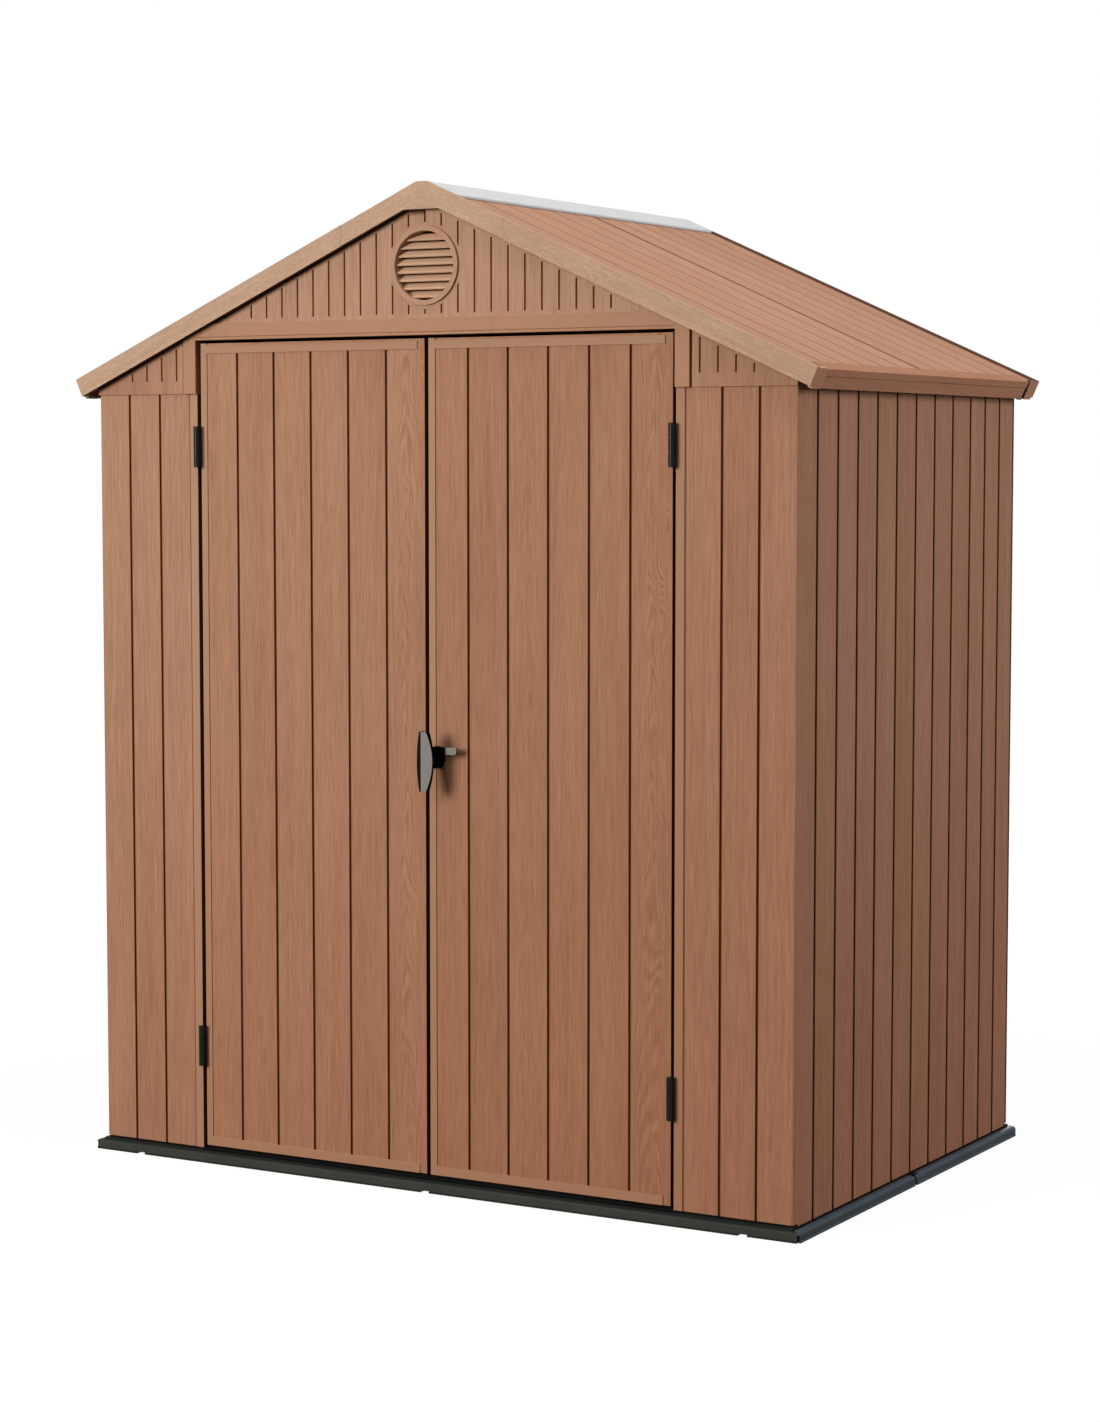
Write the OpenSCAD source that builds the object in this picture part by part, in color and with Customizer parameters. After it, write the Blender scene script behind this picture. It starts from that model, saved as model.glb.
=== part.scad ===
// Resin tool shed with a gabled roof and a pair of outward opening doors.
// Millimetres. The origin is on the ground under the middle of the walls,
// +X is to the right, +Y runs to the back and +Z is up.

/* [Walls] */
// Width of the front panels beside the doorway
front_leg = 281; // [240:0.5:340]
// Depth over the walls
wall_d = 1190; // [1000:10:1500]
// Height of the wall panels' top edge on the front and back, above the ground
wall_top = 1773; // [1500:1:1900]
// Thickness of the wall panels
wall_t = 20; // [16:1:26]
// Width of the moulded grooves between boards
groove_w = 5; // [3:0.5:8]
// Depth of the moulded grooves between boards
groove_d = 4; // [2:0.5:5]
// Radius of the outer vertical corners
corner_r = 6; // [2:1:10]
// Long leg of a corner panel
long_leg = 397; // [320:1:450]
// Short leg of a rear corner panel
short_leg = 273; // [220:1:320]
// Board pitch on the long legs
long_board = 101; // [80:1:105]
// Board pitch on the short legs
short_board = 88; // [70:1:92]
// Thickness of the tongues on the panel edges
tongue_t = 8; // [6:0.5:9]
// Length of the tongues on the panel edges
tongue_l = 10; // [6:1:14]

/* [Base] */
// Height of the floor slab
base_h = 31.5; // [26:0.5:50]
// Reach of the floor slab past the side walls
base_side = 22.5; // [16:0.5:30]
// Reach of the floor slab past the front wall
base_front = 18.5; // [16:0.5:30]
// Reach of the floor slab past the back wall
base_rear = 11; // [8:1:30]
// Depth of the channels in which the side walls stand
side_sink = 5.5; // [2:0.5:8]
// Height of the shadow line under the walls
foot_line = 3; // [1:0.5:5]
// Depth of the shadow line under the walls
foot_in = 4; // [2:0.5:6]
// Largest radius of the rim's rounded top edge
rim_r = 11; // [4:1:13]
// Reach and height of the lip round the slab's foot
rim_lip = 2; // [1:0.5:3]
// Radius of the slab's corners
slab_r = 10; // [4:1:12]
// Radius of the rim's rounded ends at the joint of the two halves
rim_end_r = 4; // [2:1:12]
// Width of the rim's slot at the joint of the two halves
rim_gap = 7; // [3:0.5:12]
// Width of the slits in the slab's front corners
slit_w = 6; // [3:0.5:8]
// Height of the slits in the slab's front corners
slit_h = 16; // [8:1:18]
// Width of the drain notches under the front rim
notch_w = 22; // [10:1:40]
// Height of the drain notches under the front rim
notch_h = 4; // [2:0.5:8]
// Distance of the outer drain notches from the side walls' faces
notch_in = 110; // [50:5:200]

/* [Doorway] */
// Width between the jambs
door_open_w = 1231; // [1000:1:1300]
// Height of the doorway's top edge over the wall panels' top edge
door_rise = 121; // [60:1:130]
// Gap between a leaf and its jamb
side_gap = 9; // [8:0.5:12]
// Gap between the two leaves
mid_gap = 11; // [8:0.5:16]
// Gap over the leaves
top_gap = 7; // [6:0.5:12]
// Gap under the leaves
floor_gap = 7; // [6:0.5:14]
// Width of the raised strip beside each jamb
jamb_strip = 21; // [12:0.5:40]
// Height by which the strip stands proud of the wall
strip_rise = 1.5; // [0.5:0.5:2]
// Board pitch on the front panels
front_board = 86.5; // [60:0.5:90]

/* [Door leaves] */
// Thickness of a leaf
leaf_t = 30; // [24:1:40]
// Height by which the stile and rails stand proud of the boards
frame_rise = 2; // [1:0.5:4]
// Width of the raised stile at a leaf's left edge
stile_w = 17; // [10:1:40]
// Width of the plain margin at a leaf's right edge
margin_w = 18; // [10:1:40]
// Height of the top rail
top_rail_h = 18; // [10:1:40]
// Lip above the top rail
rail_lip = 5; // [2:1:10]
// Height of the bottom rail
bottom_rail_h = 21; // [10:1:40]
// Boards on each leaf
leaf_boards = 6; // [3:1:8]

/* [Header] */
// Height of the header's bar
header_h = 37; // [25:1:45]
// Width of the header's legs
header_leg_w = 34.5; // [20:0.5:50]
// Thickness of the header trim
header_t = 4.5; // [3:0.5:6]
// Distance of the header's joint from the middle
header_joint_x = 172; // [0:1:400]
// Height of the lip along the header's lower edge
header_lip = 5; // [3:0.5:10]
// Height of the line over the header's lip
header_line = 2; // [1:0.5:3]
// Depth of the line over the header's lip
header_line_d = 2.5; // [1:0.5:3]

/* [Gables] */
// Distance by which the gables stand proud of the walls
gable_proud = 4; // [2:0.5:8]
// Pitch of the gable slots
slot_pitch = 42; // [30:1:60]
// Width of the gable slots
slot_w = 4; // [2:0.5:6]
// Depth of the gable slots
slot_d = 5; // [3:0.5:8]
// Height of the slots' lower end above the header
slot_sill = 9; // [5:1:30]
// Height of the slots' lower end above the walls at the sides and the back
slot_base = 29; // [15:1:40]
// Distance of the slots' upper end under the bargeboard
slot_head = 9; // [3:1:15]
// Length of the shortest slot
slot_least = 12; // [6:1:30]
// Plain margin between the slots and the vent's flange
slot_margin = 8; // [4:1:20]
// Slots from the middle to the joint of the front gable's pieces
joint_slots = 5; // [3:1:8]

/* [Vent] */
// Height of the vent's centre over the header
vent_rise = 113; // [100:1:120]
// Radius of the vent's flange
vent_flange_r = 86; // [60:1:90]
// Radius of the vent's clear opening
vent_open_r = 75; // [50:1:78]
// Thickness of the vent's sleeve
vent_sleeve_t = 4; // [2:0.5:5]
// Distance by which the flange stands proud of the gable
vent_flange_t = 5; // [3:0.5:6]
// Number of louvre blades
vent_blades = 8; // [4:1:10]
// Tilt of the louvre blades
blade_tilt = 38; // [25:1:45]
// Thickness of the louvre blades
blade_t = 3.5; // [2:0.5:5]

/* [Roof] */
// Height of the gables' ends at the side walls' faces
gable_foot = 30; // [15:1:60]
// Half width of the flat along the ridge
ridge_flat = 12; // [6:1:20]
// Pitch of the roof in degrees
roof_pitch = 23.9; // [23:0.1:26]
// Reach of the roof past the side walls
eave_reach = 52.5; // [40:0.5:70]
// Reach of the roof past the front and back walls
roof_reach = 21.5; // [18:0.5:40]
// Thickness of the roof panels
roof_t = 22; // [16:1:26]
// Depth of the roof panels' face under the bargeboards' top edge
roof_drop = 5; // [4:0.5:8]
// Width of the roof's moulded grooves
roof_groove_w = 5; // [3:0.5:8]
// Depth of the roof's moulded grooves
roof_groove_d = 2.5; // [1:0.5:4]
// Boards on each roof panel
roof_boards = 6; // [3:1:8]
// Half width of the skylight strip
skylight_half = 84; // [70:1:120]
// Half width of the open light under the skylight
light_half = 50; // [30:1:60]

/* [Roof edges] */
// Depth of the bargeboards square to the slope
barge_h = 42.5; // [34:0.5:46]
// Thickness of the bargeboards
barge_t = 13; // [10:0.5:16]
// Length of the bargeboards' returns along the eaves
return_l = 54; // [30:1:80]
// Depth of the returns' upper edge under the bargeboards' top edge
return_drop = 2; // [0.5:0.5:3]
// Half width of the ridge end pieces
ridge_end_half = 208; // [120:1:300]
// Half width of the flat under the ridge end pieces
ridge_end_flat = 44; // [20:1:60]
// Thickness of the eave fascias
fascia_t = 10; // [8:0.5:16]
// Depth of the eave fascias square to the slope
fascia_h = 44; // [36:1:50]
// Depth of the eave fascias' upper edge under the bargeboards' top edge
fascia_drop = 3.5; // [2:0.5:4.5]
// Width of the eave fascias' top flange
fascia_flange = 41; // [25:1:60]
// Depth of the eave fascias' upper band
fascia_band = 16; // [8:1:20]
// Step between the two bands of the eave fascias
fascia_step = 2; // [1:0.5:3]
// Width of the gap between a fascia's rear end and the return, filled by a clip
clip_gap = 10.5; // [6:0.5:14]
// Reach of the clips under the fascias
clip_hang = 3.5; // [2:0.5:8]
// Length of the clips along the slope
clip_l = 32; // [20:1:33]

/* [Roof truss] */
// Width of the truss bars
truss_w = 25; // [15:1:40]
// Depth of the truss bars
truss_h = 25; // [15:1:40]
// Length of the truss feet down the side walls
truss_foot = 70; // [40:1:120]
// Thickness of the truss feet
truss_foot_t = 6; // [4:1:12]
// Half width of the truss's apex plate
truss_plate = 120; // [90:1:160]

/* [Hinges] */
// Distance of the hinges' middle from the leaf's top or bottom edge
hinge_in = 234; // [150:1:500]
// Height of a hinge barrel
hinge_h = 93; // [60:1:150]
// Radius of a hinge barrel
barrel_r = 8.5; // [6:0.5:9]
// Radius of a hinge pin
pin_r = 3; // [2:0.5:4]
// Distance of the hinge pins in front of the walls
pin_out = 9.5; // [9.5:0.5:12]
// Thickness of the hinge wings
wing_t = 3; // [2:0.5:3]
// Length of the hinge wings behind the wall face
wing_l = 17; // [10:1:19]

/* [Handle] */
// Distance of the handle's axis from the right leaf's free edge
handle_in = 21.5; // [21:0.5:60]
// Height of the handle's axis over the leaf's bottom edge
handle_up = 928; // [700:1:1200]
// Height of the grip
grip_h = 132; // [100:1:160]
// Width of the grip at its middle
grip_w = 40; // [30:1:50]
// Width of the grip at its ends
grip_end_w = 17; // [12:1:26]
// Thickness of the grip at its rim
grip_rim = 7; // [4:0.5:12]
// Height of the grip's keel over its rim
keel_h = 15; // [8:0.5:20]
// Distance of the grip's back from the leaf
grip_out = 48; // [40:1:60]
// Radius of the rose behind the grip
rose_r = 19; // [16:0.5:20]
// Height of the rose's upper end's centre over the handle's axis
rose_up = 11; // [0:1:20]
// Length of the rose
rose_l = 30; // [20:1:36]
// Radius of the handle's spindle
spindle_r = 7; // [5:0.5:9]
// Radius of the collar between the rose and the grip
collar_r = 15.5; // [10:0.5:20]
// Radius of the knob inside
knob_r = 17.5; // [12:0.5:24]
// Thickness of the knob inside
knob_t = 11.5; // [6:0.5:16]
// Length of the side tab past the rose
tab_l = 44; // [20:1:50]
// Height of the side tab
tab_h = 16; // [12:1:26]
// Thickness of the side tab
tab_t = 5; // [3:0.5:8]
// Radius of the side tab's round corner
tab_r = 7; // [4:0.5:10]

/* [Hidden] */

// Clearance of a tongue in its groove
fit_gap = 0.3;
// Radial clearance of a pin in its bore
run_gap = 0.05;
// Clearance under and over the roof panels, where other pieces lie against them
lay_gap = 0.05;
// Gap between the knuckles of a hinge
knuckle_gap = 0.5;
// Overshoot of a cutting tool past the face that it cuts
over = 1;
// Facets of round pieces, and of the grip's long arcs
$fn = 64;
arc_facets = 200;

brown = [0.62, 0.41, 0.29];
trim_brown = [0.68, 0.48, 0.35];
dark_grey = [0.12, 0.12, 0.11];
black = [0.05, 0.05, 0.05];
pale = [0.85, 0.88, 0.88, 0.6];
steel = [0.55, 0.56, 0.58];

half_w = door_open_w / 2 + front_leg;
half_d = wall_d / 2;
door_open_top = wall_top + door_rise;
in_w = half_w - wall_t;
in_d = half_d - wall_t;
jamb_x = door_open_w / 2;
leaf_w = (door_open_w - mid_gap) / 2 - side_gap;
leaf_z0 = base_h + floor_gap;
rim_top = base_h - foot_line;
side_foot = base_h - side_sink;
leaf_z1 = door_open_top - top_gap;
front_joint = -half_d + long_leg;
rear_joint = half_d - short_leg;
rear_panel_x = half_w - long_leg;
long_boards = round(long_leg / long_board);
gable_front = half_d + gable_proud;
barge_back = half_d + roof_reach - barge_t;
barge_face = half_d + roof_reach;
return_end = barge_face - return_l;
eave_foot = fascia_drop + fascia_h;

roof_under = roof_drop + roof_t;
slope = tan(roof_pitch);
// Height of the roof's top plane, carried on to the middle
plane_z = wall_top + gable_foot + half_w * slope + roof_under / cos(roof_pitch);
function top_line(x, n = 0) = plane_z - abs(x) * slope - n / cos(roof_pitch);

// A point near the right eave: s is the distance up the slope from the
// eave's top corner and n the depth square to the slope
eave_x = half_w + eave_reach;
function eave_pt(s, n) = [
    eave_x - s * cos(roof_pitch) - n * sin(roof_pitch),
    top_line(eave_x) + s * sin(roof_pitch) - n * cos(roof_pitch)
];
function up_slope(x) = (eave_x - x) / cos(roof_pitch);

// The points of a right half, followed by their mirror images in the other order
function both_sides(points) = concat(
    points,
    [for (k = [len(points) - 1:-1:0]) [-points[k][0], points[k][1]]]
);

// Extrudes a shape drawn in x and z from y0 to y1
module along_y(y0, y1) {
    translate([0, y1, 0]) rotate([90, 0, 0]) linear_extrude(y1 - y0) children();
}

// A box given by its two corners
module block(low, high) {
    translate(low) cube(high - low);
}

// Draws its children on the right side, or mirrored on the left
module on_side(side) {
    if (side > 0) children();
    else mirror([1, 0, 0]) children();
}

// ---- base ----

// Profile of a rim from the wall's face outwards, down to the lip at the ground
function rim_profile(face, reach, top) = let (
    r = min(rim_r, reach - rim_lip),
    edge = face + reach - rim_lip
) concat(
    [[face, top]],
    [for (a = [90:-10:0]) [edge - r * (1 - cos(a)), top - r * (1 - sin(a))]],
    [[edge, 2 * rim_lip], [edge + rim_lip, rim_lip], [edge + rim_lip, 0]]
);

// Section of the slab across both side rims
module side_section() {
    polygon(both_sides(concat(
        [[half_w - foot_in, base_h], [half_w - foot_in, rim_top], [half_w, rim_top]],
        rim_profile(half_w, base_side, side_foot - foot_line)
    )));
}

// Section of one half of the slab along Y, with its free rim towards the left
module end_section(reach) {
    polygon(concat(
        [[0, 0], [0, base_h], [foot_in - half_d, base_h], [foot_in - half_d, rim_top]],
        [for (p = rim_profile(half_d, reach, rim_top)) [-p[0], p[1]]]
    ));
}

// Plan outline of one half of the slab, with round corners of two sizes
module slab_plan(reach) {
    outer = half_w + base_side;
    difference() {
        translate([-outer, -half_d - reach]) square([2 * outer, half_d + reach]);
        for (side = [-1, 1]) {
            translate([side * outer, -half_d - reach]) corner_bite(-side, 1, slab_r);
            translate([side * outer, -rim_gap / 2]) corner_bite(-side, -1, rim_end_r);
            translate([side > 0 ? half_w - foot_in : -outer - over, -rim_gap / 2])
                square([base_side + foot_in + over, rim_gap]);
        }
    }
}

// What is cut off a square corner at the origin to round it
module corner_bite(dx, dy, r) {
    difference() {
        translate([dx > 0 ? -over : -r, dy > 0 ? -over : -r]) square(r + over);
        translate([dx * r, dy * r]) circle(r);
    }
}

// One half of the slab, with its free rim towards -Y and a channel for each side wall
module slab_half(reach) {
    outer = half_w + base_side;
    difference() {
        intersection() {
            linear_extrude(base_h) slab_plan(reach);
            along_y(-half_d - reach, 0) side_section();
            rotate([90, 0, 90]) translate([0, 0, -outer]) linear_extrude(2 * outer)
                end_section(reach);
        }
        for (side = [-1, 1]) on_side(side) {
            block([in_w, -in_d, side_foot], [half_w + over, over, base_h + over]);
            block([half_w - foot_in, -in_d, side_foot - foot_line],
                  [half_w + over, over, base_h + over]);
        }
    }
}

module floor_front() {
    color(dark_grey) difference() {
        slab_half(base_front);
        for (x = [notch_in - half_w, 0, half_w - notch_in])
            block([x - notch_w / 2, -half_d - base_front - over, -over],
                  [x + notch_w / 2, -half_d, notch_h]);
        for (side = [-1, 1])
            translate([side * (half_w + base_side), -half_d - base_front, -over])
                rotate(side * 45) block([-slit_w / 2, -over, 0], [slit_w / 2, slab_r + over, slit_h + over]);
    }
}

module floor_rear() {
    color(dark_grey) rotate([0, 0, 180]) slab_half(base_rear);
}

// ---- walls ----

// A vertical groove in a face that looks along y, at the place x
module groove_x(x, face, dir, z0, z1, w = groove_w, d = groove_d) {
    y0 = min(face - dir * d, face + dir * over);
    y1 = max(face - dir * d, face + dir * over);
    block([x - w / 2, y0, z0], [x + w / 2, y1, z1]);
}

// A vertical groove in the right wall's face, at the place y
module groove_y(y) {
    block([half_w - groove_d, y - groove_w / 2, side_foot - over],
          [half_w + over, y + groove_w / 2, 2 * wall_top]);
}

// Right side wall from y0 to y1, up to the sloping underside of the roof
module side_slab(y0, y1) {
    along_y(y0, y1) polygon([
        [in_w, side_foot], [half_w, side_foot],
        [half_w, top_line(half_w, roof_under)], [in_w, top_line(in_w, roof_under)]
    ]);
}

// Tongue of the right side wall on the joint at y, which it passes on both sides
module side_tongue(y, reach, gap = 0) {
    mid = (in_w + half_w) / 2;
    block([mid - tongue_t / 2 - gap, y - reach - gap, base_h - (gap > 0 ? over : 0)],
          [mid + tongue_t / 2 + gap, y + reach + gap, wall_top + (gap > 0 ? wall_top : 0)]);
}

// Tongue of the back wall on the joint at x
module rear_tongue(x, reach, gap = 0) {
    mid = (in_d + half_d) / 2;
    block([x - reach - gap, mid - tongue_t / 2 - gap, base_h - (gap > 0 ? over : 0)],
          [x + reach + gap, mid + tongue_t / 2 + gap, wall_top + (gap > 0 ? over : 0)]);
}

// Rounds the outer vertical edge at the front or back of the right wall
module round_edge(dir) {
    translate([half_w, dir * half_d, base_h - over])
        linear_extrude(wall_top - base_h + 2 * over) corner_bite(-1, -dir, corner_r);
}

module front_corner() {
    difference() {
        union() {
            block([jamb_x, -half_d, base_h], [half_w, -in_d, wall_top]);
            block([jamb_x, -half_d - strip_rise, base_h],
                  [jamb_x + jamb_strip, -half_d, wall_top]);
            side_slab(-in_d, front_joint);
        }
        round_edge(-1);
        side_tongue(front_joint, tongue_l, fit_gap);
        for (k = [1:round((front_leg - jamb_strip) / front_board) - 1])
            groove_x(jamb_x + jamb_strip + k * front_board, -half_d, -1,
                     base_h - over, wall_top + over);
        for (k = [0:long_boards - 1]) groove_y(front_joint - k * long_board);
    }
}

module rear_corner() {
    difference() {
        union() {
            block([rear_panel_x, in_d, base_h], [half_w, half_d, wall_top]);
            side_slab(rear_joint, in_d);
        }
        round_edge(1);
        side_tongue(rear_joint, tongue_l, fit_gap);
        rear_tongue(rear_panel_x, tongue_l, fit_gap);
        for (k = [0:long_boards - 1])
            groove_x(rear_panel_x + k * long_board, half_d, 1, base_h - over, wall_top + over);
        for (k = [0:round(short_leg / short_board) - 1]) groove_y(rear_joint + k * short_board);
    }
}

// Middle panel of the right side wall, with a tongue at each end
module side_wall() {
    boards = round((rear_joint - front_joint) / long_board);
    pitch = (rear_joint - front_joint) / boards;
    difference() {
        union() {
            side_slab(front_joint, rear_joint);
            for (y = [front_joint, rear_joint]) side_tongue(y, tongue_l);
        }
        for (k = [0:boards]) groove_y(front_joint + k * pitch);
    }
}

// One of the two middle panels of the back wall; the left one carries both tongues
module rear_wall(side) {
    boards = round(rear_panel_x / long_board);
    pitch = rear_panel_x / boards;
    mid_joint = side < 0;
    difference() {
        union() {
            block([0, in_d, base_h], [rear_panel_x, half_d, wall_top]);
            rear_tongue(rear_panel_x, tongue_l);
            if (mid_joint) rear_tongue(0, tongue_l);
        }
        if (!mid_joint) rear_tongue(0, tongue_l, fit_gap);
        for (k = [0:boards])
            groove_x(k * pitch, half_d, 1, base_h - over, wall_top + over);
    }
}

module front_left_corner() {
    color(brown) on_side(-1) front_corner();
}

module front_right_corner() {
    color(brown) on_side(1) front_corner();
}

module rear_left_corner() {
    color(brown) on_side(-1) rear_corner();
}

module rear_right_corner() {
    color(brown) on_side(1) rear_corner();
}

module left_wall() {
    color(brown) on_side(-1) side_wall();
}

module right_wall() {
    color(brown) on_side(1) side_wall();
}

module rear_wall_left() {
    color(brown) on_side(-1) rear_wall(-1);
}

module rear_wall_right() {
    color(brown) on_side(1) rear_wall(1);
}

// ---- gables ----

gable_joint = joint_slots * slot_pitch;

// Upper outline of a gable from the middle down to the right wall's side
gable_edge = [
    [ridge_flat, top_line(ridge_flat, roof_drop)],
    [light_half, top_line(light_half, roof_drop)],
    [light_half, top_line(light_half, roof_under)],
    [half_w, top_line(half_w, roof_under)]
];

// The right half of a gable over the height z0
module gable_half(z0) {
    polygon(concat([[0, z0], [0, gable_edge[0][1]]], gable_edge, [[half_w, z0]]));
}

// The slots number k0 to k1 from the middle, from the height z0 up, where the slope leaves room
module slots(k0, k1, z0, dir) {
    for (k = [k0:k1]) {
        x = k * slot_pitch;
        z1 = top_line(abs(x) + slot_w / 2, barge_h) - slot_head;
        if (z1 > z0 + slot_least) groove_x(x, dir * gable_front, dir, z0, z1, slot_w, slot_d);
    }
}

side_slot0 = ceil((jamb_x + header_leg_w + slot_w) / slot_pitch);
last_slot = floor(half_w / slot_pitch);

module front_gable_side() {
    difference() {
        along_y(-gable_front, -in_d) intersection() {
            gable_half(wall_top);
            translate([gable_joint, wall_top]) square([half_w, plane_z]);
        }
        block([gable_joint - over, -gable_front - over, wall_top - over],
              [jamb_x, -in_d + over, door_open_top]);
        slots(joint_slots, last_slot, header_top + slot_sill, -1);
        slots(side_slot0, last_slot, wall_top + slot_base, -1);
        groove_x(header_out + slot_w / 2, -gable_front, -1,
                 wall_top - over, plane_z, slot_w, slot_d);
    }
}

module front_gable_left() {
    color(trim_brown) on_side(-1) front_gable_side();
}

module front_gable_right() {
    color(trim_brown) on_side(1) front_gable_side();
}

module front_gable_centre() {
    color(trim_brown) difference() {
        along_y(-gable_front, -in_d) intersection() {
            polygon(both_sides(concat(gable_edge, [[half_w, door_open_top]])));
            translate([-gable_joint, door_open_top]) square([2 * gable_joint, plane_z]);
        }
        difference() {
            slots(-joint_slots, joint_slots, header_top + slot_sill, -1);
            vent_axis() cylinder(h = 4 * wall_t, r = vent_flange_r + slot_margin, center = true);
        }
        vent_axis() cylinder(h = 4 * wall_t, r = vent_open_r + vent_sleeve_t + fit_gap, center = true);
    }
}

module rear_gable_side() {
    difference() {
        along_y(in_d, gable_front) gable_half(wall_top);
        slots(0, last_slot, wall_top + slot_base, 1);
    }
}

module rear_gable_left() {
    color(trim_brown) on_side(-1) rear_gable_side();
}

module rear_gable_right() {
    color(trim_brown) on_side(1) rear_gable_side();
}

// ---- header over the doorway ----

header_out = jamb_x + header_leg_w;
header_top = door_open_top + header_h;
header_face = gable_front + header_t;

// Trim from x0 out to the right leg, cut off under the slope of the roof
module header_part(x0) {
    difference() {
        along_y(-header_face, -gable_front) intersection() {
            union() {
                translate([x0, door_open_top]) square([header_out - x0, header_h]);
                translate([jamb_x, wall_top])
                    square([header_leg_w, header_top - wall_top]);
            }
            polygon(both_sides([
                [ridge_flat, top_line(ridge_flat, barge_h)],
                [half_w, top_line(half_w, barge_h)], [half_w, wall_top]
            ]));
        }
        block([x0 - over, -header_face - over, door_open_top + header_lip],
              [jamb_x, -header_face + header_line_d, door_open_top + header_lip + header_line]);
    }
}

module header_left() {
    color(trim_brown) on_side(-1) header_part(-header_joint_x);
}

module header_right() {
    color(trim_brown) on_side(1) header_part(header_joint_x);
}

// ---- vent ----

vent_z = header_top + vent_rise;

// Places a shape that lies in the xy plane on the vent's axis, facing the front
module vent_axis() {
    translate([0, -half_d, vent_z]) rotate([90, 0, 0]) children();
}

blade_pitch = 2 * vent_open_r / (vent_blades + 0.5);
blade_l = blade_pitch / cos(blade_tilt);

// Louvre blades that lean out and down, clipped to the sleeve
module blades() {
    intersection() {
        translate([0, 0, -wall_t]) cylinder(h = wall_t + gable_proud, r = vent_open_r + vent_sleeve_t / 2);
        for (k = [0:vent_blades - 1])
            translate([0, (k - (vent_blades - 1) / 2) * blade_pitch, -wall_t / 2 + gable_proud / 2])
                rotate([blade_tilt, 0, 0])
                    translate([-vent_flange_r, -blade_t / 2, -blade_l / 2])
                        cube([2 * vent_flange_r, blade_t, blade_l]);
    }
}

module vent_louvre() {
    color(trim_brown) vent_axis() {
        difference() {
            union() {
                translate([0, 0, gable_proud]) cylinder(h = vent_flange_t, r = vent_flange_r);
                translate([0, 0, -wall_t])
                    cylinder(h = wall_t + gable_proud + over, r = vent_open_r + vent_sleeve_t);
            }
            cylinder(h = 6 * wall_t, r = vent_open_r, center = true);
        }
        blades();
    }
}

// ---- roof ----

// Right roof panel from y0 to y1
module roof_panel(y0, y1) {
    pitch = (y1 - y0) / roof_boards;
    under = roof_under - lay_gap;
    difference() {
        along_y(y0, y1) polygon([
            [light_half, top_line(light_half, roof_drop)],
            eave_pt(fascia_t + lay_gap, roof_drop),
            eave_pt(fascia_t + lay_gap, under),
            [light_half, top_line(light_half, under)]
        ]);
        for (k = [1:roof_boards - 1]) roof_groove(y0 + k * pitch, roof_groove_w);
        if (y0 < 0) roof_groove(y1, roof_groove_w);
    }
}

// A groove down the right slope at the place y, from the skylight to the fascia's flange
module roof_groove(y, w) {
    s0 = fascia_flange + w;
    s1 = up_slope(skylight_half) - w;
    translate([eave_x, y, top_line(eave_x)]) rotate([0, roof_pitch, 0])
        block([-s1, -w / 2, -roof_drop - roof_groove_d], [-s0, w / 2, over]);
}

module roof_left_front() {
    color(brown) on_side(-1) roof_panel(-barge_back, 0);
}

module roof_left_rear() {
    color(brown) on_side(-1) roof_panel(0, barge_back);
}

module roof_right_front() {
    color(brown) on_side(1) roof_panel(-barge_back, 0);
}

module roof_right_rear() {
    color(brown) on_side(1) roof_panel(0, barge_back);
}

// Bent sheet over the ridge, lying on the roof panels along both edges
module skylight() {
    color(pale) along_y(-barge_back, barge_face) polygon(both_sides([
        [ridge_flat, top_line(ridge_flat)],
        [skylight_half, top_line(skylight_half)],
        [skylight_half, top_line(skylight_half, roof_drop - lay_gap)],
        [ridge_flat, top_line(ridge_flat, roof_drop - lay_gap)]
    ]));
}

// Bent steel bar under the joint of the roof panels, with a foot on each side wall
module roof_truss() {
    foot_x = in_w - truss_foot_t;
    foot_z = top_line(in_w, roof_under) - truss_foot;
    color(steel) along_y(-truss_w / 2, truss_w / 2) polygon(both_sides([
        [light_half, top_line(light_half, roof_under)],
        [in_w, top_line(in_w, roof_under)], [in_w, foot_z], [foot_x, foot_z],
        [foot_x, top_line(foot_x, roof_under + truss_h)],
        [truss_plate, top_line(truss_plate, roof_under + truss_h)]
    ]));
}

// ---- bargeboards and fascias ----

// Outline of the right bargeboard
module barge_outline() {
    polygon([
        [ridge_end_half, top_line(ridge_end_half)], [eave_x, top_line(eave_x)],
        eave_pt(0, barge_h), [ridge_end_half, top_line(ridge_end_half, barge_h)]
    ]);
}

// Section of an eave band between two depths under the bargeboards' top edge
module eave_band(top) {
    polygon([eave_pt(0, top), eave_pt(0, eave_foot), eave_pt(fascia_t, eave_foot), eave_pt(fascia_t, top)]);
}

// Right bargeboard in front, with its return along the eave
module front_barge() {
    along_y(-barge_face, -barge_back) barge_outline();
    along_y(-barge_back - over, -return_end) eave_band(return_drop);
}

module front_barge_left() {
    color(trim_brown) on_side(-1) front_barge();
}

module front_barge_right() {
    color(trim_brown) on_side(1) front_barge();
}

module rear_barge_left() {
    color(trim_brown) on_side(-1) mirror([0, 1, 0]) front_barge();
}

module rear_barge_right() {
    color(trim_brown) on_side(1) mirror([0, 1, 0]) front_barge();
}

// Outline of a ridge end piece whose middle lies n under the roof's top plane
module ridge_end_outline(n) {
    polygon(both_sides(concat(
        [[ridge_flat, top_line(ridge_flat, n)]],
        n > 0 ? [[skylight_half, top_line(skylight_half, n)], [skylight_half, top_line(skylight_half)]] : [],
        [
            [ridge_end_half, top_line(ridge_end_half)],
            [ridge_end_half, top_line(ridge_end_half, barge_h)],
            [ridge_end_flat, top_line(ridge_end_flat, barge_h)]
        ]
    )));
}

module front_ridge_end() {
    color(trim_brown) along_y(-barge_face, -barge_back) ridge_end_outline(0);
}

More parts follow.
